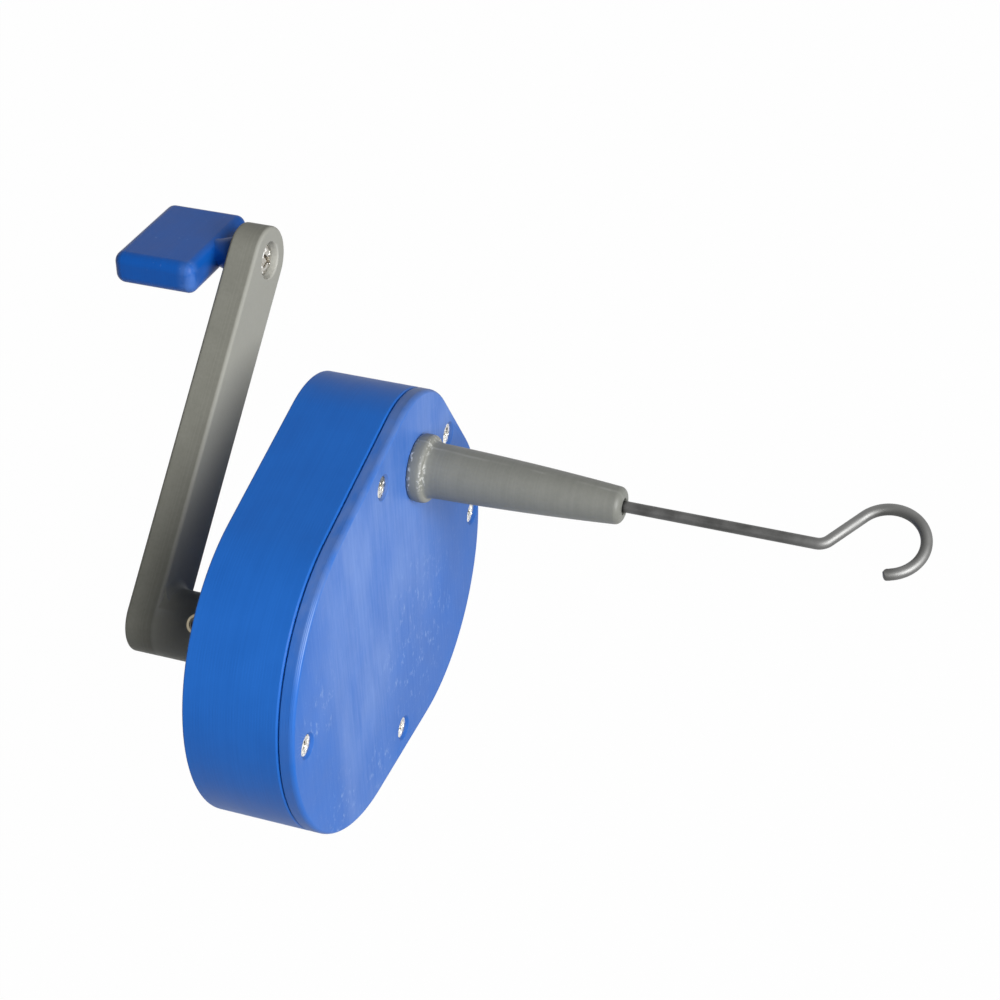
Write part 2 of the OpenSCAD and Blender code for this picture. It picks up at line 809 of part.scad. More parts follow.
module handle_washer() {
    color(steel_grey)
    ring(x_neck, x_neck + washer_t, handle_washer_r, handle_screw_r + snug, handle_at);
}

rear_casing();
front_cover();
cover_screws();
nose_tube();
nose_front_bush();
nose_rear_bush();
hook_shaft();
hook_pinion();
hook_pinion_screw();
hook_thrust_washer();
hook_rear_bush();
idler_gear();
idler_sleeve();
idler_axle();
idler_washers();
crank_gear();
crank_gear_pin();
crank_shaft();
crank_rear_bush();
crank_front_bush();
crank_inner_washer();
crank_outer_washer();
crank_arm();
crank_insert();
crank_set_screw();
handle_paddle();
handle_screw();
handle_bush();
handle_washer();
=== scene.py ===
import json
import math

import bmesh
import bpy
import numpy as np
from mathutils import Matrix, Vector
from mathutils.geometry import delaunay_2d_cdt


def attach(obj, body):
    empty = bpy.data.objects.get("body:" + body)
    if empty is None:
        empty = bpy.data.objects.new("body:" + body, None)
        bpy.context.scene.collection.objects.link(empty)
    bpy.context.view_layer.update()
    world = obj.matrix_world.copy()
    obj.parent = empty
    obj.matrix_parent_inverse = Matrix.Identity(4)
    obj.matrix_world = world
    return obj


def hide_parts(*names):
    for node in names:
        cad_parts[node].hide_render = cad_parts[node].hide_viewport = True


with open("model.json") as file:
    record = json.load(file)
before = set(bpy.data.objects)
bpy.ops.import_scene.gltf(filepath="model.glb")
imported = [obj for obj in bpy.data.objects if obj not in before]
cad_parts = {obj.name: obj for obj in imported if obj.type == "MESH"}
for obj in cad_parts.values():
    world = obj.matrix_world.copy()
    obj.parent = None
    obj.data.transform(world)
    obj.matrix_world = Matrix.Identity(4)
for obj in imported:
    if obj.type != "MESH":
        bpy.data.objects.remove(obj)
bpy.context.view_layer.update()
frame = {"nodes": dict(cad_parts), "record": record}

# Sizes of the winder, in millimetres in the frame of the part
MM = 0.001
CRANK_AT = np.array([0.0, -14.6, 35.0])
HOOK_AT = np.array([0.0, 16.0, 62.6])
IDLER_AT = np.array([0.0, 14.0007, 38.3824])
ARM_ANGLE = math.radians(41.8)
CRANK_THROW = 78.4
ARM_WAY = np.array([0.0, math.cos(ARM_ANGLE), math.sin(ARM_ANGLE)])
ARM_UP = np.array([0.0, -math.sin(ARM_ANGLE), math.cos(ARM_ANGLE)])
HANDLE_AT = CRANK_AT + CRANK_THROW * ARM_WAY

X_REAR = -10.0
X_INSIDE = -7.4
X_BOSS = -3.9
X_SEAM = 10.0
X_FRONT = 13.2
X_TIP = 56.8
X_BLIND_REAR = -8.7
X_BLIND_FRONT = 11.9
X_CRANK_BOSS = 6.2
X_IDLER_SEAT = 8.5
X_HUB_END = -10.95
X_ARM = -30.15
X_ARM_BACK = -36.95
X_NECK = -37.7
X_PADDLE = -41.6
X_SET_SCREW = -21.35

LOBE_CENTRES = np.array([[-13.2, 35.4], [13.2, 34.4], [14.4, 57.6]])
LOBE_RADII = np.array([35.4, 34.4, 20.8])
SCREW_PLACES = np.array([
    [-0.8345, 68.8504],
    [32.2813, 59.9615],
    [43.0442, 32.5746],
    [-42.4453, 37.1887],
    [0.528, 6.1],
])
SCREW_TURNS = np.radians([22.0, 64.0, 38.0, 8.0, 75.0])
WALL = 2.6
SEAM_DEPTH = 0.6
SEAM_HALF = 0.13
SEAM_LIP = 0.5
SEAM_FOOT = 0.2
EDGE_ROUND = 1.2
EDGE_DRAW = 0.8
LAYER = 0.3
RIPPLE = 0.58
SCREW_SINK = 0.5
SCREW_HEAD_R = 2.2
SCREW_R = 1.1
SCREW_LENGTH = 12.0
POST_R = 2.7
WIRE_R = 1.15
ARM_HALF = 7.2
ARM_ROUND = 0.8
HUB_FILLET = 2.0
SHAFT_BORE = 3.03
IDLER_BORE = 1.53
WIRE_BUSH_BORE = 2.43
HANDLE_BUSH_BORE = 2.98
PIVOT_BORE = 2.03
SET_SCREW_BORE = 1.53
INSERT_BORE = 2.13
INSERT_R = 2.1
INSERT_DEPTH = 3.0
BUSH_POCKET = 4.58
CRANK_BOSS_R = 6.55
IDLER_BOSS_R = 3.5
HOOK_BOSS_R = 4.4
SPIGOT_HOLE = 5.43
COLLAR_T = 3.2
COUNTERBORE_R = 3.9
COUNTERBORE_D = 2.8
PADDLE_WIDE = 26.8
NECK_R = 3.6
HANDLE_WASHER_R = NECK_R + 0.3
HUB_WASHER_R = 5.55
HOOK_TILT = math.radians(23.0)
HOOK_SIDE = np.array([0.0, math.cos(HOOK_TILT), math.sin(HOOK_TILT)])
EYE_R = 7.2
EYE_AHEAD = 108.31
EYE_BESIDE = 3.34
EYE_AT = HOOK_AT + np.array([EYE_AHEAD, 0.0, 0.0]) + EYE_BESIDE * HOOK_SIDE

# Places on the cover that a hand or a bench rubs, as y, z and reach
RUBBED = (
    (11.0, 25.0, 24.0),
    (-36.0, 40.0, 10.0),
    (-31.0, 11.0, 10.0),
    (-12.0, 7.0, 9.0),
)

# Place on the cover's edge where the layers show as pale lines, as y, z and reach
LINED = (-38.5, 59.5, 11.0)

# Axis frames, as the direction along the axis and two directions across it
ALONG_X = np.eye(3)
ALONG_ARM = np.array([ALONG_X[0], ARM_WAY, ARM_UP])
OUT_OF_HUB = np.array([ARM_UP, ALONG_X[0], ARM_WAY])
SET_SCREW_AT = CRANK_AT + X_SET_SCREW * ALONG_X[0]


def arc(centre, radius, start, end, steps):
    """Points of a circular arc: the centre plus the radius times the cosine and sine of even steps."""
    angle = np.radians(np.linspace(start, end, steps + 1))
    return np.column_stack([centre[0] + radius * np.cos(angle), centre[1] + radius * np.sin(angle)])


def soft_step(low, high, value):
    """Smooth rise from 0 at low to 1 at high: three t squared minus two t cubed of the clipped share."""
    share = np.clip((value - low) / (high - low), 0.0, 1.0)
    return share * share * (3.0 - 2.0 * share)


def spin(profile, at, axes=ALONG_X, count=96):
    """Turned surface: each profile point, as distance along the axis and radius, goes round a circle."""
    profile = np.asarray(profile, float)
    angle = np.linspace(0.0, 2.0 * np.pi, count, endpoint=False)
    along = profile[:, 0][:, None, None] * axes[0]
    across = np.cos(angle)[:, None] * axes[1] + np.sin(angle)[:, None] * axes[2]
    return np.asarray(at) + along + profile[:, 1][:, None, None] * across[None]


def circle(x, radius, at):
    """Closed loop in a plane of constant x: one row of the turned surface."""
    return spin([[x, radius]], at)[0]


def casing_outline():
    """Edge of the casing and its outward normals: an arc on each lobe, up to the next side.

    A side's normal is the heading from lobe to lobe less the arc cosine of the radius drop over the distance.
    """
    step = np.roll(LOBE_CENTRES, -1, axis=0) - LOBE_CENTRES
    drop = (LOBE_RADII - np.roll(LOBE_RADII, -1)) / np.linalg.norm(step, axis=1)
    normal_angle = np.arctan2(step[:, 1], step[:, 0]) - np.arccos(drop)
    start = np.roll(normal_angle, 1)
    span = (normal_angle - start) % (2.0 * np.pi)
    share = np.linspace(0.0, 1.0, 97)
    angle = start[:, None] + span[:, None] * share[None]
    normals = np.stack([np.cos(angle), np.sin(angle)], axis=-1)
    points = LOBE_CENTRES[:, None] + LOBE_RADII[:, None, None] * normals
    return points.reshape(-1, 2), normals.reshape(-1, 2)


def slot_outline(length, half):
    """Edge of a bar with round ends, along the first axis: two half circles with outward normals."""
    far = np.radians(np.linspace(-90.0, 90.0, 65))
    near = far + np.pi
    normals = np.stack([np.cos(np.r_[far, near]), np.sin(np.r_[far, near])], axis=-1)
    centres = np.repeat([[length, 0.0], [0.0, 0.0]], len(far), axis=0)
    return centres + half * normals, normals


def block_outline(half_wide, half_high, corner):
    """Edge of a rectangle with round corners: a quarter circle about each corner's centre."""
    angle = np.radians(np.linspace(0.0, 90.0, 17))[None] + np.radians([0.0, 90.0, 180.0, 270.0])[:, None]
    normals = np.stack([np.cos(angle), np.sin(angle)], axis=-1)
    signs = np.array([[1, 1], [-1, 1], [-1, -1], [1, -1]])
    centres = signs * np.array([half_wide - corner, half_high - corner])
    return (centres[:, None] + corner * normals).reshape(-1, 2), normals.reshape(-1, 2)


def carry(profile, edge, axes=ALONG_X, at=(0.0, 0.0, 0.0)):
    """Profile carried round an edge: each row is the edge drawn in along its normals by the inset."""
    profile = np.asarray(profile, float)
    points, normals = edge
    flat = points[None] - profile[:, 1][:, None, None] * normals[None]
    along = profile[:, 0][:, None, None] * axes[0]
    return np.asarray(at) + along + flat[..., :1] * axes[1] + flat[..., 1:] * axes[2]


def inside(spots, loop):
    """Whether flat points lie in a closed loop: a line to the right crosses it an odd number of times."""
    start = loop[None]
    end = np.roll(loop, -1, axis=0)[None]
    spot = spots[:, None]
    spans = (start[..., 1] > spot[..., 1]) != (end[..., 1] > spot[..., 1])
    rise = np.where(spans, end[..., 1] - start[..., 1], 1.0)
    cross = start[..., 0] + (spot[..., 1] - start[..., 1]) * (end[..., 0] - start[..., 0]) / rise
    return (spans & (spot[..., 0] < cross)).sum(axis=1) % 2 == 1


class Shell:
    """Gathers grids and flat fills of one piece, and welds them into a closed mesh."""

    def __init__(self):
        self.points = []
        self.faces = []
        self.count = 0

    def add(self, points, faces):
        """Takes a block of points, and faces that count from the block's first point."""
        self.points.append(points.reshape(-1, 3))
        self.faces += (faces + self.count).tolist()
        self.count += self.points[-1].shape[0]

    def grid(self, points):
        """Joins the rows of a grid of points by four-sided faces, and closes each row into a ring."""
        rows, columns = points.shape[:2]
        index = np.arange(rows * columns).reshape(rows, columns)
        index = np.hstack([index, index[:, :1]])
        corners = [index[:-1, :-1], index[1:, :-1], index[1:, 1:], index[:-1, 1:]]
        self.add(points, np.stack(corners, axis=-1).reshape(-1, 4))

    def fill(self, *loops):
        """Fills the flat area between closed loops that lie in one plane, the first of them the outer one.

        The points are read in the two directions in which they spread most, and joined by triangles that
        keep the loops as edges. A triangle whose middle lies within an inner loop is left out.
        """
        sizes = np.array([len(loop) for loop in loops])
        starts = np.repeat(np.cumsum(sizes) - sizes, sizes)
        here = np.arange(sizes.sum())
        after = starts + (here - starts + 1) % np.repeat(sizes, sizes)
        points = np.vstack(loops)
        centre = points.mean(axis=0)
        plane = np.linalg.svd(points - centre, full_matrices=False)[2][:2]
        flat = (points - centre) @ plane.T
        rings = np.column_stack([here, after]).tolist()
        made = delaunay_2d_cdt([Vector(spot) for spot in flat.tolist()], rings, [], 1, 1e-6)
        spots = np.array(made[0])
        faces = np.array(made[2])
        middles = spots[faces].mean(axis=1)
        ends = np.cumsum(sizes)
        holes = [flat[end - size:end] for end, size in zip(ends[1:], sizes[1:])]
        kept = np.all([~inside(middles, hole) for hole in holes], axis=0) if holes else slice(None)
        self.add(centre + spots @ plane, faces[kept])

    def object(self, name):
        """Object of the welded mesh in millimetres, with its doubles merged and its faces turned outwards."""
        mesh = bpy.data.meshes.new(name)
        mesh.from_pydata(np.vstack(self.points).tolist(), [], self.faces)
        work = bmesh.new()
        work.from_mesh(mesh)
        bmesh.ops.remove_doubles(work, verts=work.verts[:], dist=0.002)
        bmesh.ops.recalc_face_normals(work, faces=work.faces[:])
        work.to_mesh(mesh)
        work.free()
        made = bpy.data.objects.new(name, mesh)
        bpy.context.scene.collection.objects.link(made)
        return made


def turned(name, profile, at, axes=ALONG_X, count=96):
    """Object of one turned surface."""
    shell = Shell()
    shell.grid(spin(profile, at, axes, count))
    return shell.object(name)


def rod(name, start, end, radius, at, axes=ALONG_X):
    """Closed round bar between two places along an axis, for cutting."""
    return turned(name, [[start, 0.0], [start, radius], [end, radius], [end, 0.0]], at, axes)


def rounded_ring(start, end, outer, inner, soft):
    """Profile of a ring with its four edges rounded."""
    return np.vstack([
        arc((start + soft, outer - soft), soft, 180.0, 90.0, 4),
        arc((end - soft, outer - soft), soft, 90.0, 0.0, 4),
        arc((end - soft, inner + soft), soft, 0.0, -90.0, 4),
        arc((start + soft, inner + soft), soft, -90.0, -180.0, 4),
        [[start, outer - soft]],
    ])


def combine(base, kind, *tools):
    """Joins or cuts the base with each tool by an exact boolean, and removes the tools."""
    for tool in tools:
        step = base.modifiers.new("step", "BOOLEAN")
        step.operation = kind
        step.solver = "EXACT"
        step.object = tool
        shaped = base.evaluated_get(bpy.context.evaluated_depsgraph_get())
        mesh = bpy.data.meshes.new_from_object(shaped)
        base.modifiers.remove(step)
        base.data = mesh
        bpy.data.objects.remove(tool)


def place(piece, body, slot, paint, *nodes, sharp=32.0):
    """Turns a piece into metres, gives it its finish, shading and body, and hides the nodes it stands for.

    Shading is smooth, with sharp edges past an angle.
    """
    mesh = piece.data
    mesh.transform(Matrix.Scale(MM, 4))
    mesh.materials.clear()
    mesh.materials.append(paint.material)
    mesh.polygons.foreach_set("use_smooth", np.ones(len(mesh.polygons), dtype=bool))
    mesh.set_sharp_from_angle(angle=math.radians(sharp))
    normals = piece.modifiers.new("even_normals", "WEIGHTED_NORMAL")
    normals.keep_sharp = True
    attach(piece, body)
    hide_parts(*nodes)


# Finishes

class Wire:
    """A shader socket that adds, multiplies and divides like a number."""

    def __init__(self, paint, socket):
        self.paint = paint
        self.socket = socket

    def math(self, kind, *values):
        """Math node of a kind on the values, in their order."""
        settings = {"operation": kind}
        return self.paint.node("ShaderNodeMath", settings, dict(enumerate(values)))

    def __add__(self, other):
        return self.math("ADD", self, other)

    def __sub__(self, other):
        return self.math("SUBTRACT", self, other)

    def __rsub__(self, other):
        return self.math("SUBTRACT", other, self)

    def __mul__(self, other):
        return self.math("MULTIPLY", self, other)

    def __truediv__(self, other):
        return self.math("DIVIDE", self, other)

    def __pow__(self, other):
        return self.math("POWER", self, other)

    def __abs__(self):
        return self.math("ABSOLUTE", self)

    __radd__ = __add__

    def sine(self):
        return self.math("SINE", self)

    def floor(self):
        return self.math("FLOOR", self)

    def most(self, other):
        return self.math("MAXIMUM", self, other)

    def least(self, other):
        return self.math("MINIMUM", self, other)

    def rise(self, low, high):
        """Smooth rise from 0 at low to 1 at high."""
        settings = {"interpolation_type": "SMOOTHSTEP"}
        plugs = {"Value": self, "From Min": low, "From Max": high}
        return self.paint.node("ShaderNodeMapRange", settings, plugs)


class Graph:
    """A tree of shader nodes under construction."""

    def __init__(self, tree):
        self.tree = tree

    def node(self, kind, settings, plugs, output=0):
        """Adds a node with its settings, fills its sockets with values or links, and gives an output."""
        made = self.tree.nodes.new(kind)
        for key, value in settings.items():
            setattr(made, key, value)
        for key, value in plugs.items():
            if isinstance(value, Wire):
                self.tree.links.new(value.socket, made.inputs[key])
            else:
                made.inputs[key].default_value = value
        return Wire(self, made.outputs[output])

    def seen_or_mirrored(self):
        """1 for rays from the camera and for those that a glossy or clear surface sends on, else 0."""
        kinds = ("Is Camera Ray", "Is Glossy Ray", "Is Transmission Ray")
        camera, glossy, clear = (self.node("ShaderNodeLightPath", {}, {}, kind) for kind in kinds)
        return (camera + glossy + clear).least(1.0)

    def surface(self, share, first, second):
        """Sends a mix of two shaders to the output."""
        both = self.node("ShaderNodeMixShader", {}, {0: share, 1: first, 2: second})
        end = next(node for node in self.tree.nodes if "Surface" in node.inputs)
        self.tree.links.new(both.socket, end.inputs["Surface"])


class Paint(Graph):
    """A material under construction, with its shader and the place on the piece in millimetres."""

    def __init__(self, name, **constants):
        self.material = bpy.data.materials.new(name)
        self.material.use_nodes = True
        super().__init__(self.material.node_tree)
        self.shader = self.tree.nodes["Principled BSDF"]
        for socket, value in constants.items():
            self.shader.inputs[socket.replace("_", " ")].default_value = value
        spot = self.node("ShaderNodeTexCoord", {}, {}, "Object")
        self.spot = self.node("ShaderNodeVectorMath", {"operation": "SCALE"}, {0: spot, "Scale": 1.0 / MM})
        self.x = self.node("ShaderNodeSeparateXYZ", {}, {0: self.spot}, "X")
        self.y = self.node("ShaderNodeSeparateXYZ", {}, {0: self.spot}, "Y")
        self.z = self.node("ShaderNodeSeparateXYZ", {}, {0: self.spot}, "Z")

    def noise(self, size, detail=2.0, shift=0.0, roughness=0.5):
        """Soft noise from 0 to 1, with the size of its blobs in millimetres along each axis."""
        spot = self.node("ShaderNodeVectorMath", {"operation": "DIVIDE"}, {0: self.spot, 1: size})
        moved = self.node("ShaderNodeVectorMath", {"operation": "ADD"}, {0: spot, 1: (shift, shift, shift)})
        plugs = {"Vector": moved, "Scale": 1.0, "Detail": detail, "Roughness": roughness}
        return self.node("ShaderNodeTexNoise", {}, plugs)

    def per_layer(self, along, height):
        """Random value from 0 to 1 for each printed layer."""
        count = (along / height).floor()
        return self.node("ShaderNodeTexWhiteNoise", {"noise_dimensions": "1D"}, {"W": count})

    def mix(self, share, first, second):
        """Colour between two colours by a share."""
        settings = {"data_type": "RGBA", "clamp_factor": True}
        return self.node("ShaderNodeMix", settings, {0: share, 6: first, 7: second}, 2)

    def feed(self, socket, wire):
        self.tree.links.new(wire.socket, self.shader.inputs[socket])

    def relief(self, height):
        """Bump from a height in millimetres."""
        plugs = {"Height": height, "Distance": MM, "Strength": 1.0}
        self.feed("Normal", self.node("ShaderNodeBump", {}, plugs, "Normal"))


def printed_relief(paint, along, depth, size):
    """Height of printed layers: rounded beads stacked along one direction, with a rough skin."""
    bead = abs((along * (math.pi / LAYER)).sine())
    skin = paint.noise(size, detail=4.0)
    return bead * depth + skin * (depth * 1.4)


def away(paint, y, z):
    """Distance from an axis that runs along x at a place."""
    across = paint.y - y
    up = paint.z - z
    return (across * across + up * up) ** 0.5


def patch(paint, y, z, reach):
    """Soft round patch on the cover: 1 about a place, falling smoothly to 0 at the reach."""
    return 1.0 - away(paint, y, z).rise(0.3 * reach, reach)


def casing_blue():
    """Blue printed plastic: faint ripples of layers round the sides, and a face with a painted sheen and
    scuffs.

    The painted sheen is a pale reflection painted into the face's colour: palest about the middle and in a
    band below it, with slow clouds and fine upright strokes.
    Scuffs are clusters of small pale marks, thick in the patches that a hand or a bench rubs and thin
    elsewhere. Painted shade darkens the screw recesses, the upper rim is worn greyish, and layers show as
    pale lines on a part of the edge.
    """
    paint = Paint("casing_blue", Specular_IOR_Level=0.22)
    face = paint.x.rise(X_FRONT - 0.12, X_FRONT - 0.03)
    side = 1.0 - face
    blotch = paint.noise((9.0, 9.0, 9.0), detail=3.0)
    layer = paint.per_layer(paint.x, LAYER)
    shown = paint.noise((30.0, 8.0, 8.0), detail=3.0, shift=31.0).rise(0.50, 0.66)
    ripple = (paint.x * (2.0 * math.pi / RIPPLE)).sine() * shown
    shade = blotch * 0.5 + (layer * 0.12 + ripple * 0.08) * side + 0.18
    plain = paint.mix(shade, (0.008, 0.104, 0.44, 1.0), (0.020, 0.164, 0.63, 1.0))
    rim = paint.x.rise(X_SEAM + 0.2, X_SEAM + 0.5) * side
    # Painted shade: the countersinks and the rim about each screw are darkened
    recess = rim * sum(patch(paint, *at, 5.0) for at in SCREW_PLACES)
    clean = paint.mix(recess * 0.45, plain, (0.004, 0.045, 0.22, 1.0))
    wear = paint.noise((3.0, 5.0, 5.0), detail=4.0, shift=27.0).rise(0.05, 0.70)
    worn = rim * (0.06 + paint.z.rise(52.0, 66.0) * 0.20) * wear
    greyed = paint.mix(worn, clean, (0.30, 0.33, 0.36, 1.0))
    edge = side * paint.x.rise(X_FRONT - EDGE_ROUND, X_FRONT - EDGE_ROUND + 0.3)
    lines = (paint.x * (2.0 * math.pi / LAYER)).sine().rise(0.1, 0.8) * patch(paint, *LINED)
    body = paint.mix(edge * lines * 0.36, greyed, (0.40, 0.58, 0.92, 1.0))
    # Painted sheen: a pale reflection painted into the face's colour, strongest about the middle, in a band
    # low on the left and at the upper right
    cloud = paint.noise((14.0, 12.0, 24.0), detail=4.0, shift=23.0).rise(0.25, 0.75)
    stroke = paint.noise((2.0, 0.8, 14.0), detail=5.0, shift=3.0, roughness=0.65).rise(0.30, 0.70)
    low = (1.0 - paint.z.rise(24.0, 40.0)) * paint.y.rise(-32.0, -24.0) * (1.0 - paint.y.rise(-14.0, -2.0))
    high = paint.z.rise(56.0, 66.0) * paint.y.rise(14.0, 24.0)
    pale = 0.07 + patch(paint, -6.0, 51.0, 44.0) * 0.30 + low * 0.20 + high * 0.24
    painted_sheen = face * pale * (0.36 + cloud * 0.84 + stroke * 0.44)
    washed = paint.mix(painted_sheen, body, (0.24, 0.37, 0.74, 1.0))
    cluster = paint.noise((2.2, 2.2, 3.0), detail=4.0, shift=7.0).rise(0.50, 0.64)
    speck = paint.noise((1.2, 0.9, 1.6), detail=5.0, shift=11.0, roughness=0.7).rise(0.44, 0.72)
    local_share = sum(patch(paint, *spot) for spot in RUBBED)
    scuff = face * cluster * speck * (0.10 + local_share * 0.70)
    paint.feed("Base Color", paint.mix(scuff * 0.5, washed, (0.62, 0.76, 0.94, 1.0)))
    paint.feed("Roughness", 0.40 + blotch * 0.12 + scuff * 0.2 - face * 0.02)
    beads = (printed_relief(paint, paint.x, 0.008, (0.6, 2.4, 2.4)) + ripple * 0.003) * side
    paint.relief(beads + face * stroke * 0.010 + scuff * 0.015)
    return paint


def paddle_blue():
    """Blue printed plastic of the grip: faint layers, a painted highlight on the corner by the arm and pale
    specks.
    """
    paint = Paint("paddle_blue", Specular_IOR_Level=0.20)
    blotch = paint.noise((7.0, 10.0, 7.0), detail=3.0, shift=5.0)
    layer = paint.per_layer(paint.x, LAYER)
    body = paint.mix(blotch * 0.7 + layer * 0.12, (0.003, 0.078, 0.37, 1.0), (0.007, 0.122, 0.53, 1.0))
    speck = paint.noise((0.9, 1.6, 0.9), detail=3.0, shift=2.0).rise(0.68, 0.76)
    near = HANDLE_AT[1] - PADDLE_WIDE / 2.0
    # Painted highlight: the upright corner of the near side at the arm's end is made paler, in patches
    corner = paint.x.rise(X_PADDLE - 4.0, X_PADDLE - 1.2) * (1.0 - paint.y.rise(near + 0.6, near + 4.0))
    local_share = corner * paint.noise((2.5, 2.5, 2.5), detail=3.0, shift=19.0).rise(0.25, 0.65)
    paint.feed("Base Color", paint.mix(speck * 0.10 + local_share * 0.20, body, (0.30, 0.47, 0.88, 1.0)))
    paint.feed("Roughness", 0.34 + blotch * 0.14)
    paint.relief(printed_relief(paint, paint.x, 0.006, (0.8, 1.6, 1.6)))
    return paint


def arm_grey():
    """Warm grey printed plastic: a mottled skin with faint layers, and painted light on the front and in the
    bore.
    """
    paint = Paint("arm_grey", Specular_IOR_Level=0.10)
    blotch = paint.noise((6.0, 6.0, 6.0), detail=4.0, shift=4.0)
    grain = paint.noise((0.7, 0.7, 0.7), detail=3.0, shift=15.0)
    layer = paint.per_layer(paint.x, LAYER)
    shade = blotch * 0.45 + grain * 0.35 + layer * 0.14
    grey = paint.mix(shade, (0.195, 0.195, 0.166, 1.0), (0.325, 0.325, 0.284, 1.0))
    # Painted light: the front face, and everything within the counterbore's radius of the handle axis, is
    # made paler
    front = paint.x.rise(X_ARM - 1.0, X_ARM - 0.1)
    bore = 1.0 - away(paint, *HANDLE_AT[1:]).rise(COUNTERBORE_R + 0.1, COUNTERBORE_R + 0.5)
    pale = (front * 0.34).most(bore * 0.6)
    paint.feed("Base Color", paint.mix(pale, grey, (0.55, 0.55, 0.51, 1.0)))
    paint.feed("Roughness", 0.40 + blotch * 0.18)
    paint.relief(printed_relief(paint, paint.x, 0.008, (0.9, 1.1, 1.1)) + grain * 0.014)
    return paint


def nose_grey():
    """Grey printed plastic of the nose: a grainy skin, a seam line along the top and beads on the collar.

    The beads lie in two rings, at the collar's foot and where its round turns into the fillet. They are bumps
    with less roughness, and their pale colour is a painted highlight; the crest's slight paleness is one too.
    """
    paint = Paint("nose_grey", Specular_IOR_Level=0.45)
    blotch = paint.noise((4.0, 4.0, 4.0), detail=4.0, shift=9.0)
    grain = paint.noise((0.6, 0.6, 0.6), detail=3.0, shift=17.0)
    layer = paint.per_layer(paint.x, LAYER)
    shade = blotch * 0.4 + grain * 0.3 + layer * 0.12
    grey = paint.mix(shade, (0.150, 0.154, 0.138, 1.0), (0.252, 0.256, 0.230, 1.0))
    top = paint.z.rise(HOOK_AT[2] + 1.0, HOOK_AT[2] + 2.0)
    wander = paint.noise((9.0, 9.0, 9.0), detail=2.0, shift=12.0)
    line = 1.0 - abs(paint.y - (HOOK_AT[1] - 1.1) - wander).rise(0.08, 0.42)
    seam = line * top * paint.noise((6.0, 9.0, 9.0), detail=4.0, shift=18.0).rise(0.30, 0.70)
    foot = paint.x.rise(X_FRONT + 0.2, X_FRONT + 0.5) * (1.0 - paint.x.rise(X_FRONT + 0.7, X_FRONT + 1.2))
    turn = paint.x.rise(X_FRONT + COLLAR_T - 0.9, X_FRONT + COLLAR_T - 0.5)
    crest = turn * (1.0 - paint.x.rise(X_FRONT + COLLAR_T + 0.2, X_FRONT + COLLAR_T + 0.8))
    gather = paint.noise((3.0, 3.0, 3.0), detail=2.0, shift=21.0).rise(0.36, 0.56)
    upper = paint.z.rise(HOOK_AT[2] - 2.0, HOOK_AT[2] + 0.5)
    spots = paint.noise((0.6, 0.7, 0.7), detail=2.0, shift=14.0).rise(0.50, 0.62)
    # Painted highlight: the beads and the crest get a paler colour; the beads are also real bumps with less
    # roughness
    bead = spots * gather * (foot * 1.4 + crest * upper)
    pale = crest * 0.06 + bead * 0.6 + seam * 0.16
    paint.feed("Base Color", paint.mix(pale, grey, (0.66, 0.67, 0.64, 1.0)))
    paint.feed("Roughness", 0.38 + blotch * 0.14 - bead * 0.2)
    skin = printed_relief(paint, paint.x, 0.007, (0.9, 1.0, 1.0)) + grain * 0.012
    paint.relief(skin + bead * 0.03 + seam * 0.05)
    return paint


def steel(name, bright, dull, size, rough, hook=False):
    """Steel with fine marks drawn out along one direction, between a bright tone and cloudy tarnish.

    On the hook, the bent end is painted brighter as a painted reflection, and made rougher. Its tip is
    darker, and the inner side of its eye is darkened as a painted dark reflection, by the distance from the
    eye's centre in the hook's plane.
    """
    paint = Paint(name, Metallic=1.0)
    drawn = paint.noise(size, detail=4.0, shift=6.0)
    cloud = paint.noise((4.0, 4.0, 4.0), detail=3.0, shift=1.0).rise(0.3, 0.7)
    clean = drawn * 0.4 + cloud * 0.6
    tone = paint.mix(clean, (dull, dull, dull * 0.98, 1.0), (bright, bright, bright * 0.98, 1.0))
    if hook:
        # Painted reflection: the bent end gets a brighter tone; it is also made rougher
        local_share = paint.x.rise(88.0, 100.0)
        tone = paint.mix(local_share * 0.50, tone, (2.0 * bright, 2.0 * bright, 1.96 * bright, 1.0))
        rough = rough + local_share * 0.16
        # Painted dark reflection on the inner side of the eye, by the distance from its centre; the tip is
        # darkened too
        ahead = paint.x - EYE_AT[0]
        beside = (paint.y - EYE_AT[1]) * HOOK_SIDE[1] + (paint.z - EYE_AT[2]) * HOOK_SIDE[2]
        out = (ahead * ahead + beside * beside) ** 0.5
        inner = (1.0 - out.rise(EYE_R - 0.9, EYE_R + 0.7)) * (ahead + beside).rise(-2.0, 4.0)
        tip = (1.0 - ahead.rise(1.0, 4.5)) * (1.0 - beside.rise(-6.6, -4.6))
        black = inner.most(tip * 0.8)
        tone = paint.mix(black * 0.75, tone, (0.4 * bright, 0.4 * bright, 0.38 * bright, 1.0))
    paint.feed("Base Color", tone)
    paint.feed("Roughness", rough + cloud * 0.10 + drawn * 0.08)
    paint.relief(drawn * 0.006)
    return paint


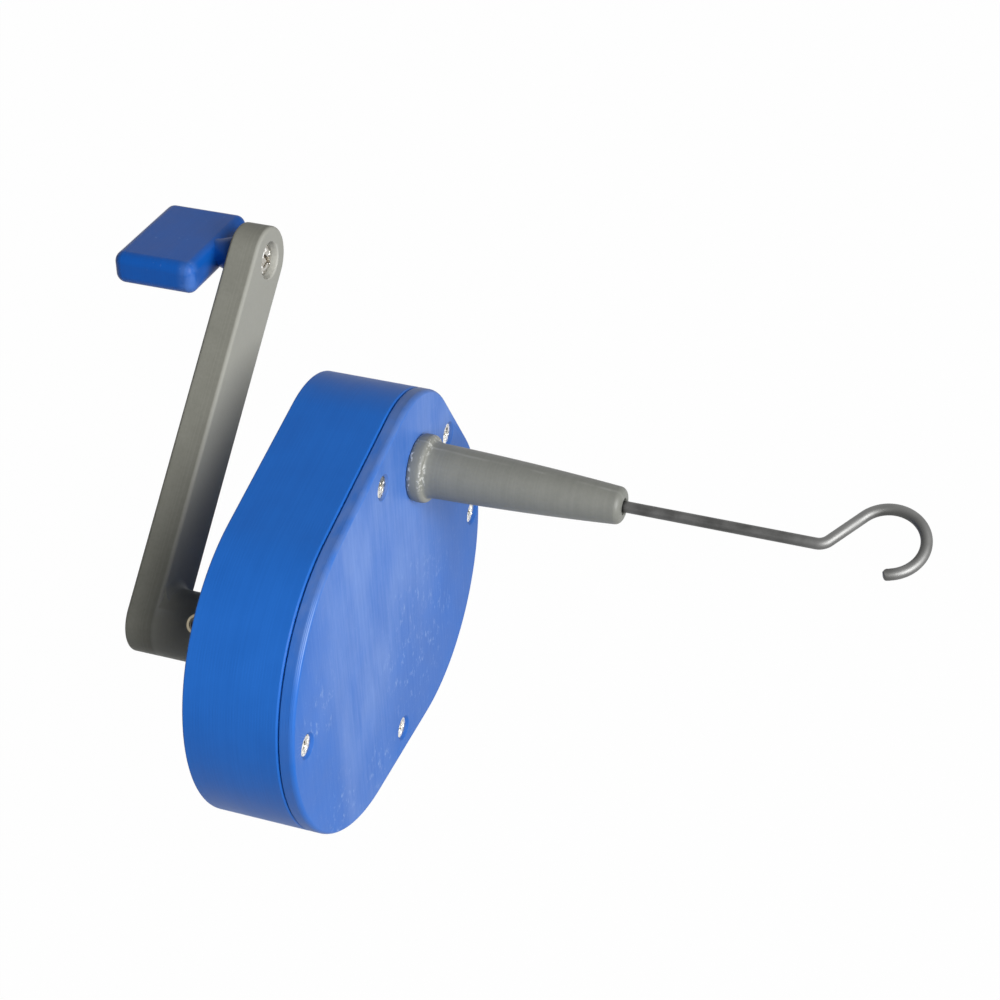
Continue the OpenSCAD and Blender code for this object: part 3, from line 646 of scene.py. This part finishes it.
def screw_plating(name, top, dark, light):
    """Worn plating of a screw head: light and dark flecks, a few painted glints, tarnish, and dirt and
    painted shade in the cross.
    """
    paint = Paint(name, Metallic=1.0)
    fleck = paint.noise((0.7, 0.7, 0.7), detail=3.0, shift=6.0).rise(0.34, 0.52)
    patchy = paint.noise((2.2, 2.2, 2.2), detail=2.0, shift=10.0).rise(0.34, 0.56)
    # Dirt and painted shade: the head is darker below its top, in the cross
    cross_dirt_and_shade = 1.0 - paint.x.rise(top - 0.55, top - 0.10)
    clean = (fleck * 0.6 + patchy * 0.4) * (1.0 - cross_dirt_and_shade * 0.55)
    worn = (dark, dark * 0.88, dark * 0.70, 1.0)
    plated = paint.mix(clean, worn, (light, light * 0.97, light * 0.90, 1.0))
    # Painted highlight: a few spots of near-white plating stand for glints
    painted_glint = paint.noise((0.9, 0.9, 0.9), detail=1.0, shift=16.0).rise(0.57, 0.62)
    paint.feed("Base Color", paint.mix(painted_glint, plated, (0.97, 0.96, 0.93, 1.0)))
    paint.feed("Roughness", 0.14 + cross_dirt_and_shade * 0.2)
    paint.relief(fleck * 0.02)
    return paint


def brass_tone():
    """Turned brass: rings across the axis and patches of dulled skin."""
    paint = Paint("turned_brass", Metallic=1.0)
    rings = paint.noise((0.15, 5.0, 5.0), detail=3.0)
    dull = paint.noise((2.0, 2.0, 2.0), detail=3.0, shift=8.0)
    paint.feed("Base Color", paint.mix(dull, (0.20, 0.17, 0.12, 1.0), (0.42, 0.37, 0.27, 1.0)))
    paint.feed("Roughness", 0.26 + dull * 0.2)
    paint.relief(rings * 0.005)
    return paint


def gear_white():
    """Off-white moulded plastic with a faint cloudiness."""
    paint = Paint("gear_white", Specular_IOR_Level=0.45)
    cloud = paint.noise((5.0, 5.0, 5.0), detail=3.0)
    paint.feed("Base Color", paint.mix(cloud, (0.70, 0.66, 0.57, 1.0), (0.84, 0.80, 0.71, 1.0)))
    paint.feed("Roughness", 0.40 + cloud * 0.12)
    paint.relief(paint.noise((0.4, 0.4, 0.4), detail=2.0) * 0.006)
    return paint


BLUE = casing_blue()
PADDLE_BLUE = paddle_blue()
ARM_GREY = arm_grey()
NOSE_GREY = nose_grey()
WIRE_STEEL = steel("drawn_wire", 0.14, 0.06, (6.0, 0.25, 0.25), 0.28, hook=True)
COVER_SCREW_STEEL = screw_plating("cover_screw_plating", X_FRONT - SCREW_SINK, 0.10, 0.96)
HANDLE_SCREW_STEEL = screw_plating("handle_screw_plating", X_ARM - COUNTERBORE_D + 2.0, 0.34, 0.52)
PLAIN_STEEL = steel("plain_steel", 0.52, 0.37, (0.3, 2.0, 2.0), 0.24)
BRASS = brass_tone()
GEAR_WHITE = gear_white()


# Casing

EDGE = casing_outline()
SCREW_AT = np.column_stack([np.zeros(len(SCREW_PLACES)), SCREW_PLACES])


def rear_casing():
    """Open shell: the edge carried along the depth, drawn in at the seam, with turned bosses and posts."""
    shell = Shell()
    edge_r = 0.35
    outside = np.vstack([
        arc((X_REAR + edge_r, edge_r), edge_r, 180.0, 270.0, 6),
        arc((X_SEAM - SEAM_HALF - SEAM_LIP, SEAM_LIP), SEAM_LIP, 270.0, 360.0, 6),
        [[X_SEAM - SEAM_HALF, SEAM_DEPTH], [X_SEAM, SEAM_DEPTH]],
        [[X_SEAM, WALL], [X_INSIDE, WALL]],
    ])
    walls = carry(outside, EDGE)
    shell.grid(walls)
    shell.fill(walls[0], circle(X_REAR, BUSH_POCKET, CRANK_AT))
    shell.grid(spin([
        [X_REAR, BUSH_POCKET], [X_BOSS, BUSH_POCKET], [X_BOSS, CRANK_BOSS_R], [X_INSIDE, CRANK_BOSS_R],
    ], CRANK_AT))
    blind_bosses = ((IDLER_AT, IDLER_BOSS_R, IDLER_BORE), (HOOK_AT, HOOK_BOSS_R, WIRE_BUSH_BORE))
    for at, outer, bore in blind_bosses:
        shell.grid(spin([
            [X_INSIDE, outer], [X_BOSS, outer], [X_BOSS, bore], [X_BLIND_REAR, bore], [X_BLIND_REAR, 0.0],
        ], at))
    hole_end = X_FRONT - SCREW_SINK - SCREW_LENGTH - 1.0
    post = [
        [X_INSIDE, POST_R], [X_SEAM, POST_R],
        [X_SEAM, SCREW_R + 0.03], [hole_end, SCREW_R + 0.03], [hole_end, 0.0],
    ]
    free_posts = SCREW_AT[[0, 3, 4]]
    for at in free_posts:
        shell.grid(spin(post, at))
    for at in SCREW_AT[[1, 2]]:
        shell.grid(spin([[X_INSIDE, 0.0]] + post, at))
    floor_holes = [circle(X_INSIDE, POST_R, at) for at in free_posts]
    floor_holes.append(circle(X_INSIDE, CRANK_BOSS_R, CRANK_AT))
    floor_holes += [circle(X_INSIDE, outer, at) for at, outer, bore in blind_bosses]
    shell.fill(walls[-1], *floor_holes)
    return shell.object("rear_casing_shell")


def front_cover():
    """Plate: the edge carried over a seam step and a quarter ellipse with layer beads, and turned holes.

    The edge draws in by one less the root of one less the squared share, so it runs smoothly into the face.
    """
    shell = Shell()
    share = np.linspace(0.0, 1.0, 49)
    bead = 0.018 * (1.0 - np.abs(np.sin(share * EDGE_ROUND * np.pi / LAYER)))
    rounded = np.column_stack([
        X_FRONT - EDGE_ROUND * (1.0 - share),
        EDGE_DRAW * (1.0 - np.sqrt(1.0 - share ** 2)) + bead * (1.0 - share ** 6),
    ])
    outside = np.vstack([
        [[X_SEAM, SEAM_DEPTH], [X_SEAM + SEAM_HALF, SEAM_DEPTH]],
        arc((X_SEAM + SEAM_HALF + SEAM_FOOT, SEAM_FOOT), SEAM_FOOT, 180.0, 270.0, 4),
        rounded,
    ])
    rim = carry(outside, EDGE)
    shell.grid(rim)
    face_r = SCREW_HEAD_R + 0.05 + SCREW_SINK
    hole_r = SCREW_R + 0.05
    cone_end = X_FRONT - SCREW_SINK - (SCREW_HEAD_R - SCREW_R)
    lip = 0.12
    sunk = [
        [X_FRONT, face_r + lip], [X_FRONT - 0.3 * lip, face_r + 0.3 * lip], [X_FRONT - lip, face_r - lip],
        [cone_end, hole_r], [X_SEAM, hole_r],
    ]
    for at in SCREW_AT:
        shell.grid(spin(sunk, at))
    shell.grid(spin([[X_FRONT, SPIGOT_HOLE], [X_SEAM, SPIGOT_HOLE]], HOOK_AT))
    shell.grid(spin([
        [X_SEAM, CRANK_BOSS_R], [X_CRANK_BOSS, CRANK_BOSS_R], [X_CRANK_BOSS, BUSH_POCKET],
        [X_BLIND_FRONT, BUSH_POCKET], [X_BLIND_FRONT, 0.0],
    ], CRANK_AT))
    shell.grid(spin([
        [X_SEAM, IDLER_BOSS_R], [X_IDLER_SEAT, IDLER_BOSS_R], [X_IDLER_SEAT, IDLER_BORE],
        [X_BLIND_FRONT, IDLER_BORE], [X_BLIND_FRONT, 0.0],
    ], IDLER_AT))
    front_holes = [circle(X_FRONT, face_r + lip, at) for at in SCREW_AT]
    back_holes = [circle(X_SEAM, hole_r, at) for at in SCREW_AT]
    back_holes.append(circle(X_SEAM, CRANK_BOSS_R, CRANK_AT))
    back_holes.append(circle(X_SEAM, IDLER_BOSS_R, IDLER_AT))
    shell.fill(rim[-1], circle(X_FRONT, SPIGOT_HOLE, HOOK_AT), *front_holes)
    shell.fill(rim[0], circle(X_SEAM, SPIGOT_HOLE, HOOK_AT), *back_holes)
    return shell.object("front_cover_plate")


def cross_head(top, radius, crown, reach, depth, turn, at, rows=60, count=96):
    """Screw head from above: a low crown less a cross, deepest in the middle.

    Height is the crown times one less the squared radius share, less the depth where the cross lies.
    """
    r = np.linspace(0.0, radius, rows)[:, None]
    angle = np.linspace(0.0, 2.0 * np.pi, count, endpoint=False)[None]
    u = np.abs(r * np.cos(angle - turn))
    v = np.abs(r * np.sin(angle - turn))
    half = reach * 0.17
    soft = 0.05 * reach
    arm_u = soft_step(half + soft, half - soft, v) * soft_step(reach + soft, reach - soft, u)
    arm_v = soft_step(half + soft, half - soft, u) * soft_step(reach + soft, reach - soft, v)
    cut = np.maximum(arm_u, arm_v) * depth * (1.0 - 0.45 * r / reach)
    x = top + crown * (1.0 - (r / radius) ** 2) - cut
    return np.stack([x, at[1] + r * np.cos(angle), at[2] + r * np.sin(angle)], axis=-1)


def cover_screws():
    """Five countersunk screws: a head with a cross, a cone below it and a shank with turns of thread."""
    shell = Shell()
    top = X_FRONT - SCREW_SINK
    cone = SCREW_HEAD_R - SCREW_R
    pitch, groove, soft, cross_reach, cross_depth = 0.5, 0.06, 0.06, 1.3, 0.9
    turns = np.arange(0.0, SCREW_LENGTH - 2.0, pitch / 4.0)
    thread = SCREW_R - groove * (1.0 - np.cos(turns * 2.0 * np.pi / pitch))
    shank = np.column_stack([top - cone - 0.2 - turns, thread])
    below = np.vstack([
        [[top, SCREW_HEAD_R - soft], [top - soft, SCREW_HEAD_R], [top - cone, SCREW_R]],
        shank,
        [[top - SCREW_LENGTH, 0.4], [top - SCREW_LENGTH, 0.0]],
    ])
    for at, turn in zip(SCREW_AT, SCREW_TURNS):
        shell.grid(cross_head(top, SCREW_HEAD_R - soft, 0.0, cross_reach, cross_depth, turn, at))
        shell.grid(spin(below, at))
    return shell.object("cover_screw_set")


# Nose and hook

def nose_tube():
    """Turned tube: a rolled collar, a hollow fillet, a taper that swells a little and a rounded tip.

    The collar's roll is half a superellipse: its height is a root of one less a power of the share.
    """
    collar_r, collar_round, blend, square = 7.0, 0.9, 2.6, 2.6
    base_r, tip_r, swell, tip_round = 5.6, 3.8, 0.25, 1.5
    spigot_r, bore_r, hole_r, bore_end = 5.4, WIRE_BUSH_BORE, 1.7, X_TIP - 2.5
    collar_end = X_FRONT + COLLAR_T
    side_start, side_end = collar_end + blend, X_TIP - tip_round
    share = np.linspace(0.0, 1.0, 61)
    side = np.column_stack([
        side_start + share * (side_end - side_start),
        base_r + share * (tip_r - base_r) + 4.0 * swell * share * (1.0 - share),
    ])
    drop = collar_r - collar_round - base_r
    quarter = np.radians(np.linspace(0.0, 90.0, 13))[1:-1]
    fillet = np.column_stack([
        collar_end + blend * (1.0 - np.cos(quarter)),
        base_r + drop * (1.0 - np.sin(quarter)),
    ])
    across = -np.cos(np.linspace(0.0, np.pi, 33))
    roll = np.column_stack([
        X_FRONT + COLLAR_T * (1.0 + across) / 2.0,
        collar_r - collar_round + collar_round * (1.0 - np.abs(across) ** square) ** (1.0 / square),
    ])
    profile = np.vstack([
        [[X_SEAM, bore_r], [X_SEAM, spigot_r], [X_FRONT, spigot_r]],
        roll,
        fillet,
        side,
        arc((side_end, tip_r - tip_round), tip_round, 90.0, 0.0, 12)[1:],
        arc((X_TIP - 0.2, hole_r + 0.2), 0.2, 0.0, -90.0, 5),
        [[bore_end, hole_r], [bore_end, bore_r], [X_SEAM, bore_r]],
    ])
    return turned("nose_tube_cone", profile, HOOK_AT, count=128)


def hook_path():
    """Centre line of the wire in its own plane, as along and across points with the heading at each.

    A straight run, a left bend, a straight lead, then the eye, which turns right. In a bend the wire goes
    round a circle whose centre lies beside the heading.
    """
    start, bend_start, bend_r, lead = -8.4, 95.1, 3.0, 8.4
    bend, eye = math.radians(52.0), math.radians(227.0)
    run = np.linspace(start, bend_start, 60)
    turn = np.linspace(0.0, bend, 25)[1:]
    bend_points = np.column_stack([bend_start + bend_r * np.sin(turn), bend_r * (1.0 - np.cos(turn))])
    way = np.array([math.cos(bend), math.sin(bend)])
    lead_points = bend_points[-1] + np.linspace(0.0, lead, 13)[1:, None] * way
    heading = bend - np.linspace(0.0, eye, 110)[1:]
    centre = lead_points[-1] + EYE_R * np.array([math.sin(bend), -math.cos(bend)])
    eye_points = centre + EYE_R * np.column_stack([-np.sin(heading), np.cos(heading)])
    level = np.zeros_like(run)
    points = np.vstack([np.column_stack([run, level]), bend_points, lead_points, eye_points])
    headings = np.r_[level, turn, np.full(len(lead_points), bend), heading]
    return points, headings


def hook_shaft():
    """Round wire carried along the path, with its ends drawn in to a small round.

    The last end is pinched off: it slopes back from a ridge across the middle, by the pinch times the share
    of the radius to either side of the ridge, over the last few rows.
    """
    points, heading = hook_path()
    lift = np.array([0.0, -math.sin(HOOK_TILT), math.cos(HOOK_TILT)])
    forward = ALONG_X[0]
    centre = HOOK_AT + points[:, :1] * forward + points[:, 1:] * HOOK_SIDE
    along = np.cos(heading)[:, None] * forward + np.sin(heading)[:, None] * HOOK_SIDE
    across = -np.sin(heading)[:, None] * forward + np.cos(heading)[:, None] * HOOK_SIDE
    end_round = 0.35
    cap = np.radians(np.linspace(0.0, 90.0, 6))
    inset = end_round * (1.0 - np.cos(cap))
    cap_r = WIRE_R - end_round + end_round * np.sin(cap)
    first = centre[:1] + inset[:, None] * along[:1]
    last = centre[-1:] - inset[::-1, None] * along[-1:]
    middle = np.vstack([centre[:1], first, centre[1:-1], last, centre[-1:]])
    radius = np.r_[0.0, cap_r, np.full(len(centre) - 2, WIRE_R), cap_r[::-1], 0.0]
    cap_rows = len(cap) + 1
    sides = np.vstack([across[:1].repeat(cap_rows, 0), across[1:-1], across[-1:].repeat(cap_rows, 0)])
    angle = np.linspace(0.0, 2.0 * np.pi, 40, endpoint=False)
    ring = np.cos(angle)[None, :, None] * sides[:, None] + np.sin(angle)[None, :, None] * lift
    pinch, pinched_rows, growing_rows = 0.5, 13, 6
    grown = np.r_[
        np.zeros(len(middle) - pinched_rows),
        np.linspace(0.0, 1.0, growing_rows),
        np.ones(pinched_rows - growing_rows),
    ]
    slope = pinch * grown[:, None] * radius[:, None] / WIRE_R * np.abs(np.cos(angle))[None]
    shell = Shell()
    shell.grid(middle[:, None] + radius[:, None, None] * ring - slope[..., None] * along[-1])
    return shell.object("hook_wire")


# Crank

def crank_arm():
    """Bar with round ends and rolled edges, joined to a turned hub and a hollow fillet, then bored."""
    shell = Shell()
    edge = slot_outline(CRANK_THROW, ARM_HALF)
    section = np.vstack([
        arc((X_ARM_BACK + ARM_ROUND, ARM_ROUND), ARM_ROUND, 180.0, 270.0, 8),
        arc((X_ARM - ARM_ROUND, ARM_ROUND), ARM_ROUND, 270.0, 360.0, 8),
    ])
    sides = carry(section, edge, ALONG_ARM, CRANK_AT)
    shell.grid(sides)
    shell.fill(sides[0])
    shell.fill(sides[-1])
    arm = shell.object("crank_arm_bar")
    hub_r = ARM_HALF - 0.01
    hub_round = 0.4
    hub_start = X_ARM_BACK + 3.4
    hub = turned("hub", np.vstack([
        [[hub_start, 0.0], [hub_start, hub_r]],
        arc((X_HUB_END - hub_round, hub_r - hub_round), hub_round, 90.0, 0.0, 6),
        [[X_HUB_END, 0.0]],
    ]), CRANK_AT, count=160)
    fillet_r = hub_r + HUB_FILLET - 0.02
    root_r, root_x = ARM_HALF - 1.0, X_ARM - 0.2
    fillet = turned("fillet", np.vstack([
        [[root_x, root_r], [root_x, fillet_r]],
        arc((X_ARM + HUB_FILLET, fillet_r), HUB_FILLET, 180.0, 270.0, 14),
        [[X_ARM + HUB_FILLET, root_r], [root_x, root_r]],
    ]), CRANK_AT, count=157)
    window = Shell()
    reach = 8.0
    window_edge = block_outline(reach, ARM_HALF - ARM_ROUND, 0.05)
    window_depth = [[X_ARM - 1.0, 0.0], [X_ARM + 4.0, 0.0]]
    sweep = carry(window_depth, window_edge, ALONG_ARM, CRANK_AT + reach * ARM_WAY)
    window.grid(sweep)
    window.fill(sweep[0])
    window.fill(sweep[1])
    combine(fillet, "INTERSECT", window.object("window"))
    combine(arm, "UNION", hub, fillet)
    mouth = 0.5
    counterbore = np.vstack([
        [[X_ARM - COUNTERBORE_D, 0.0], [X_ARM - COUNTERBORE_D, COUNTERBORE_R]],
        arc((X_ARM - mouth + 0.01, COUNTERBORE_R + mouth), mouth, 270.0, 360.0, 8),
        [[X_ARM + 1.0, COUNTERBORE_R + mouth], [X_ARM + 1.0, 0.0]],
    ])
    combine(
        arm, "DIFFERENCE",
        rod("shaft_bore", X_ARM_BACK + 3.0, X_HUB_END + 1.0, SHAFT_BORE, CRANK_AT),
        turned("counterbore", counterbore, HANDLE_AT, count=128),
        rod("bush_bore", X_ARM_BACK - 1.0, X_ARM - COUNTERBORE_D + 0.2, HANDLE_BUSH_BORE, HANDLE_AT),
        rod("insert_bore", ARM_HALF - INSERT_DEPTH, ARM_HALF + 2.0, INSERT_BORE, SET_SCREW_AT, OUT_OF_HUB),
        rod("screw_bore", 0.0, ARM_HALF - 2.0, SET_SCREW_BORE, SET_SCREW_AT, OUT_OF_HUB),
    )
    return arm


def set_screw():
    """Headless screw: a turned side with rounded edges, and a six-sided socket sunk into its end."""
    shell = Shell()
    end, radius, socket_r, soft = 6.0, 1.5, 0.9, 0.12
    start = SHAFT_BORE + 0.02
    side = spin(np.vstack([
        [[start, 0.0], [start, radius - 0.2], [start + 0.2, radius]],
        arc((end - soft, radius - soft), soft, 90.0, 0.0, 5),
    ]), SET_SCREW_AT, OUT_OF_HUB)
    hexagon = [[end, socket_r], [end - 1.0, socket_r], [end - 1.0, 0.0]]
    socket = spin(hexagon, SET_SCREW_AT, OUT_OF_HUB, count=6)
    shell.grid(side)
    shell.grid(socket)
    shell.fill(side[-1], socket[0])
    return shell.object("hub_set_screw")


def insert_sleeve():
    """Threaded sleeve: a turned ring with rounded edges."""
    ring = rounded_ring(ARM_HALF - INSERT_DEPTH, ARM_HALF, INSERT_R, SET_SCREW_BORE, 0.08)
    return turned("hub_insert_sleeve", ring, SET_SCREW_AT, OUT_OF_HUB, count=120)


# Handle

def handle_paddle():
    """Flat grip: a rounded rectangle carried along the hook axis, drawn in over quarter rounds at its ends.

    A neck joins it, turned from a profile that widens smoothly from the grip to the arm.
    """
    length, thick, near_round, far_round, corner, lowered = 18.6, 7.1, 2.2, 2.0, 2.3, 0.6
    turn = math.radians(-3.0)
    axes = np.array([
        ALONG_X[0],
        [0.0, math.cos(turn), math.sin(turn)],
        [0.0, -math.sin(turn), math.cos(turn)],
    ])
    edge = block_outline(PADDLE_WIDE / 2.0, thick / 2.0, corner)
    back = X_PADDLE - length
    profile = np.vstack([
        arc((back + near_round, near_round), near_round, 180.0, 270.0, 14),
        arc((X_PADDLE - far_round, far_round), far_round, 270.0, 360.0, 14),
    ])
    shell = Shell()
    sides = carry(profile, edge, axes, HANDLE_AT - lowered * axes[2])
    shell.grid(sides)
    shell.fill(sides[0])
    shell.fill(sides[-1])
    grip = shell.object("handle_paddle_grip")
    root_r, neck_round, root_x = 2.8, 0.3, X_PADDLE - 1.8
    along = np.linspace(root_x, X_NECK - neck_round, 25)
    flare = root_r + (NECK_R - root_r) * soft_step(X_PADDLE - 1.0, X_NECK - 1.2, along)
    neck = turned("neck", np.vstack([
        [[root_x, 0.0]],
        np.column_stack([along, flare]),
        arc((X_NECK - neck_round, NECK_R - neck_round), neck_round, 90.0, 0.0, 5)[1:],
        [[X_NECK, 0.0]],
    ]), HANDLE_AT)
    combine(grip, "UNION", neck)
    combine(grip, "DIFFERENCE", rod("screw_hole", X_NECK - 16.0, X_NECK + 1.0, PIVOT_BORE, HANDLE_AT))
    return grip


def handle_screw():
    """Pan-head screw: a crowned head with a cross over a rounded rim, and a plain shank."""
    shell = Shell()
    seat = X_ARM - COUNTERBORE_D + 0.15
    rim, radius, crown, round_r = seat + 1.55, 3.4, 0.55, 0.7
    cross_reach, cross_depth = 1.85, 1.25
    shank_r, shank_end, bevel = 2.0, X_NECK - 15.0, 0.4
    turn = math.radians(28.0)
    head = cross_head(rim, radius - round_r, crown, cross_reach, cross_depth, turn, HANDLE_AT, 70, 120)
    shell.grid(head)
    below = np.vstack([
        arc((rim - round_r, radius - round_r), round_r, 0.0, 90.0, 8),
        [[seat, radius], [seat, shank_r], [shank_end + bevel, shank_r]],
        [[shank_end, shank_r - bevel], [shank_end, 0.0]],
    ])
    shell.grid(spin(below, HANDLE_AT, count=120))
    return shell.object("handle_pivot_screw")


place(rear_casing(), "casing", "casing_plastic", BLUE, "rear_casing")
place(front_cover(), "casing", "casing_plastic", BLUE, "front_cover")
place(cover_screws(), "casing", "steel", COVER_SCREW_STEEL, "cover_screws")
place(nose_tube(), "casing", "grey_plastic", NOSE_GREY, "nose_tube")
place(hook_shaft(), "hook", "steel", WIRE_STEEL, "hook_shaft", sharp=50.0)
place(crank_arm(), "crank", "grey_plastic", ARM_GREY, "crank_arm")
place(insert_sleeve(), "crank", "brass", BRASS, "crank_insert")
place(set_screw(), "crank", "steel", PLAIN_STEEL, "crank_set_screw")
hub_ring = rounded_ring(X_HUB_END, X_HUB_END + 0.8, HUB_WASHER_R, SHAFT_BORE, 0.15)
hub_washer = turned("hub_washer", hub_ring, CRANK_AT)
place(hub_washer, "crank", "steel", PLAIN_STEEL, "crank_outer_washer")
place(handle_paddle(), "handle", "casing_plastic", PADDLE_BLUE, "handle_paddle")
place(handle_screw(), "handle", "steel", HANDLE_SCREW_STEEL, "handle_screw")
handle_ring = rounded_ring(X_NECK, X_NECK + 0.6, HANDLE_WASHER_R, PIVOT_BORE, 0.12)
handle_washer = turned("handle_washer_ring", handle_ring, HANDLE_AT)
place(handle_washer, "handle", "steel", PLAIN_STEEL, "handle_washer")

# Finishes of the pieces inside, by their material slot
SLOT_PAINT = {
    "casing_plastic": BLUE,
    "grey_plastic": ARM_GREY,
    "gear_plastic": GEAR_WHITE,
    "steel": PLAIN_STEEL,
    "brass": BRASS,
}
for part in frame["record"]["subparts"]:
    inner = frame["nodes"][part["node"]]
    inner.data.materials.clear()
    inner.data.materials.append(SLOT_PAINT[part["material_slot"]].material)


# Stage, light and camera

WHITE = (1.0, 1.0, 1.0, 1.0)


def studio_floor():
    """White floor a little below the winder, bright to the camera and to reflections, with a faint shadow."""
    half, level = 3.0, -0.03
    mesh = bpy.data.meshes.new("floor")
    corners = [(-half, -half, level), (half, -half, level), (half, half, level), (-half, half, level)]
    mesh.from_pydata(corners, [], [(0, 1, 2, 3)])
    floor = bpy.data.objects.new("floor", mesh)
    bpy.context.scene.collection.objects.link(floor)
    paint = Paint("floor_white", Roughness=0.9, Specular_IOR_Level=0.0, Base_Color=(0.3, 0.3, 0.3, 1.0))
    glow = paint.node("ShaderNodeEmission", {}, {"Color": WHITE, "Strength": 1.0})
    lit = Wire(paint, paint.shader.outputs[0])
    paint.surface(paint.seen_or_mirrored() * 0.99, lit, glow)
    mesh.materials.append(paint.material)


def world_light(strength):
    """Even white surroundings: full white to the camera and to reflections, dimmer as light on the winder."""
    world = bpy.data.worlds.new("studio")
    world.use_nodes = True
    bpy.context.scene.world = world
    graph = Graph(world.node_tree)
    dim = graph.node("ShaderNodeBackground", {}, {"Color": WHITE, "Strength": strength})
    full = graph.node("ShaderNodeBackground", {}, {"Color": WHITE, "Strength": 1.0})
    graph.surface(graph.seen_or_mirrored(), dim, full)


def soft_lamp(name, at, aim, wide, high, power):
    """Soft lamp with a rectangular front at a place, turned to face a point."""
    data = bpy.data.lights.new(name, "AREA")
    data.shape = "RECTANGLE"
    data.size = wide
    data.size_y = high
    data.energy = power
    lamp = bpy.data.objects.new(name, data)
    bpy.context.scene.collection.objects.link(lamp)
    lamp.location = at
    lamp.rotation_mode = "QUATERNION"
    lamp.rotation_quaternion = (Vector(aim) - Vector(at)).to_track_quat("-Z", "Y")


def photo_camera():
    """Camera of the photograph: turned about the upright, tipped down, then rolled about its own axis."""
    data = bpy.data.cameras.new("photo_camera")
    data.sensor_width = 36.0
    data.lens = 86.4
    camera = bpy.data.objects.new("photo_camera", data)
    bpy.context.scene.collection.objects.link(camera)
    azimuth, elevation, roll = np.radians([21.8209, 35.6885, -2.1198])
    turn = Matrix.Rotation(azimuth, 4, "Z")
    tip = Matrix.Rotation(math.pi / 2.0 - elevation, 4, "X")
    lean = Matrix.Rotation(roll, 4, "Z")
    eye = Matrix.Translation((0.17533, -0.345256, 0.337817))
    camera.matrix_world = eye @ turn @ tip @ lean
    bpy.context.scene.camera = camera


studio_floor()
world_light(0.008)
middle = (0.0, 0.0, 0.045)
soft_lamp("key_lamp", (0.78, -0.53, 0.535), middle, 0.6, 0.74, 16.0)
soft_lamp("fill_lamp", (0.06, -1.0, 0.35), middle, 0.8, 0.8, 0.35)
photo_camera()
bpy.context.scene.view_settings.view_transform = "Standard"
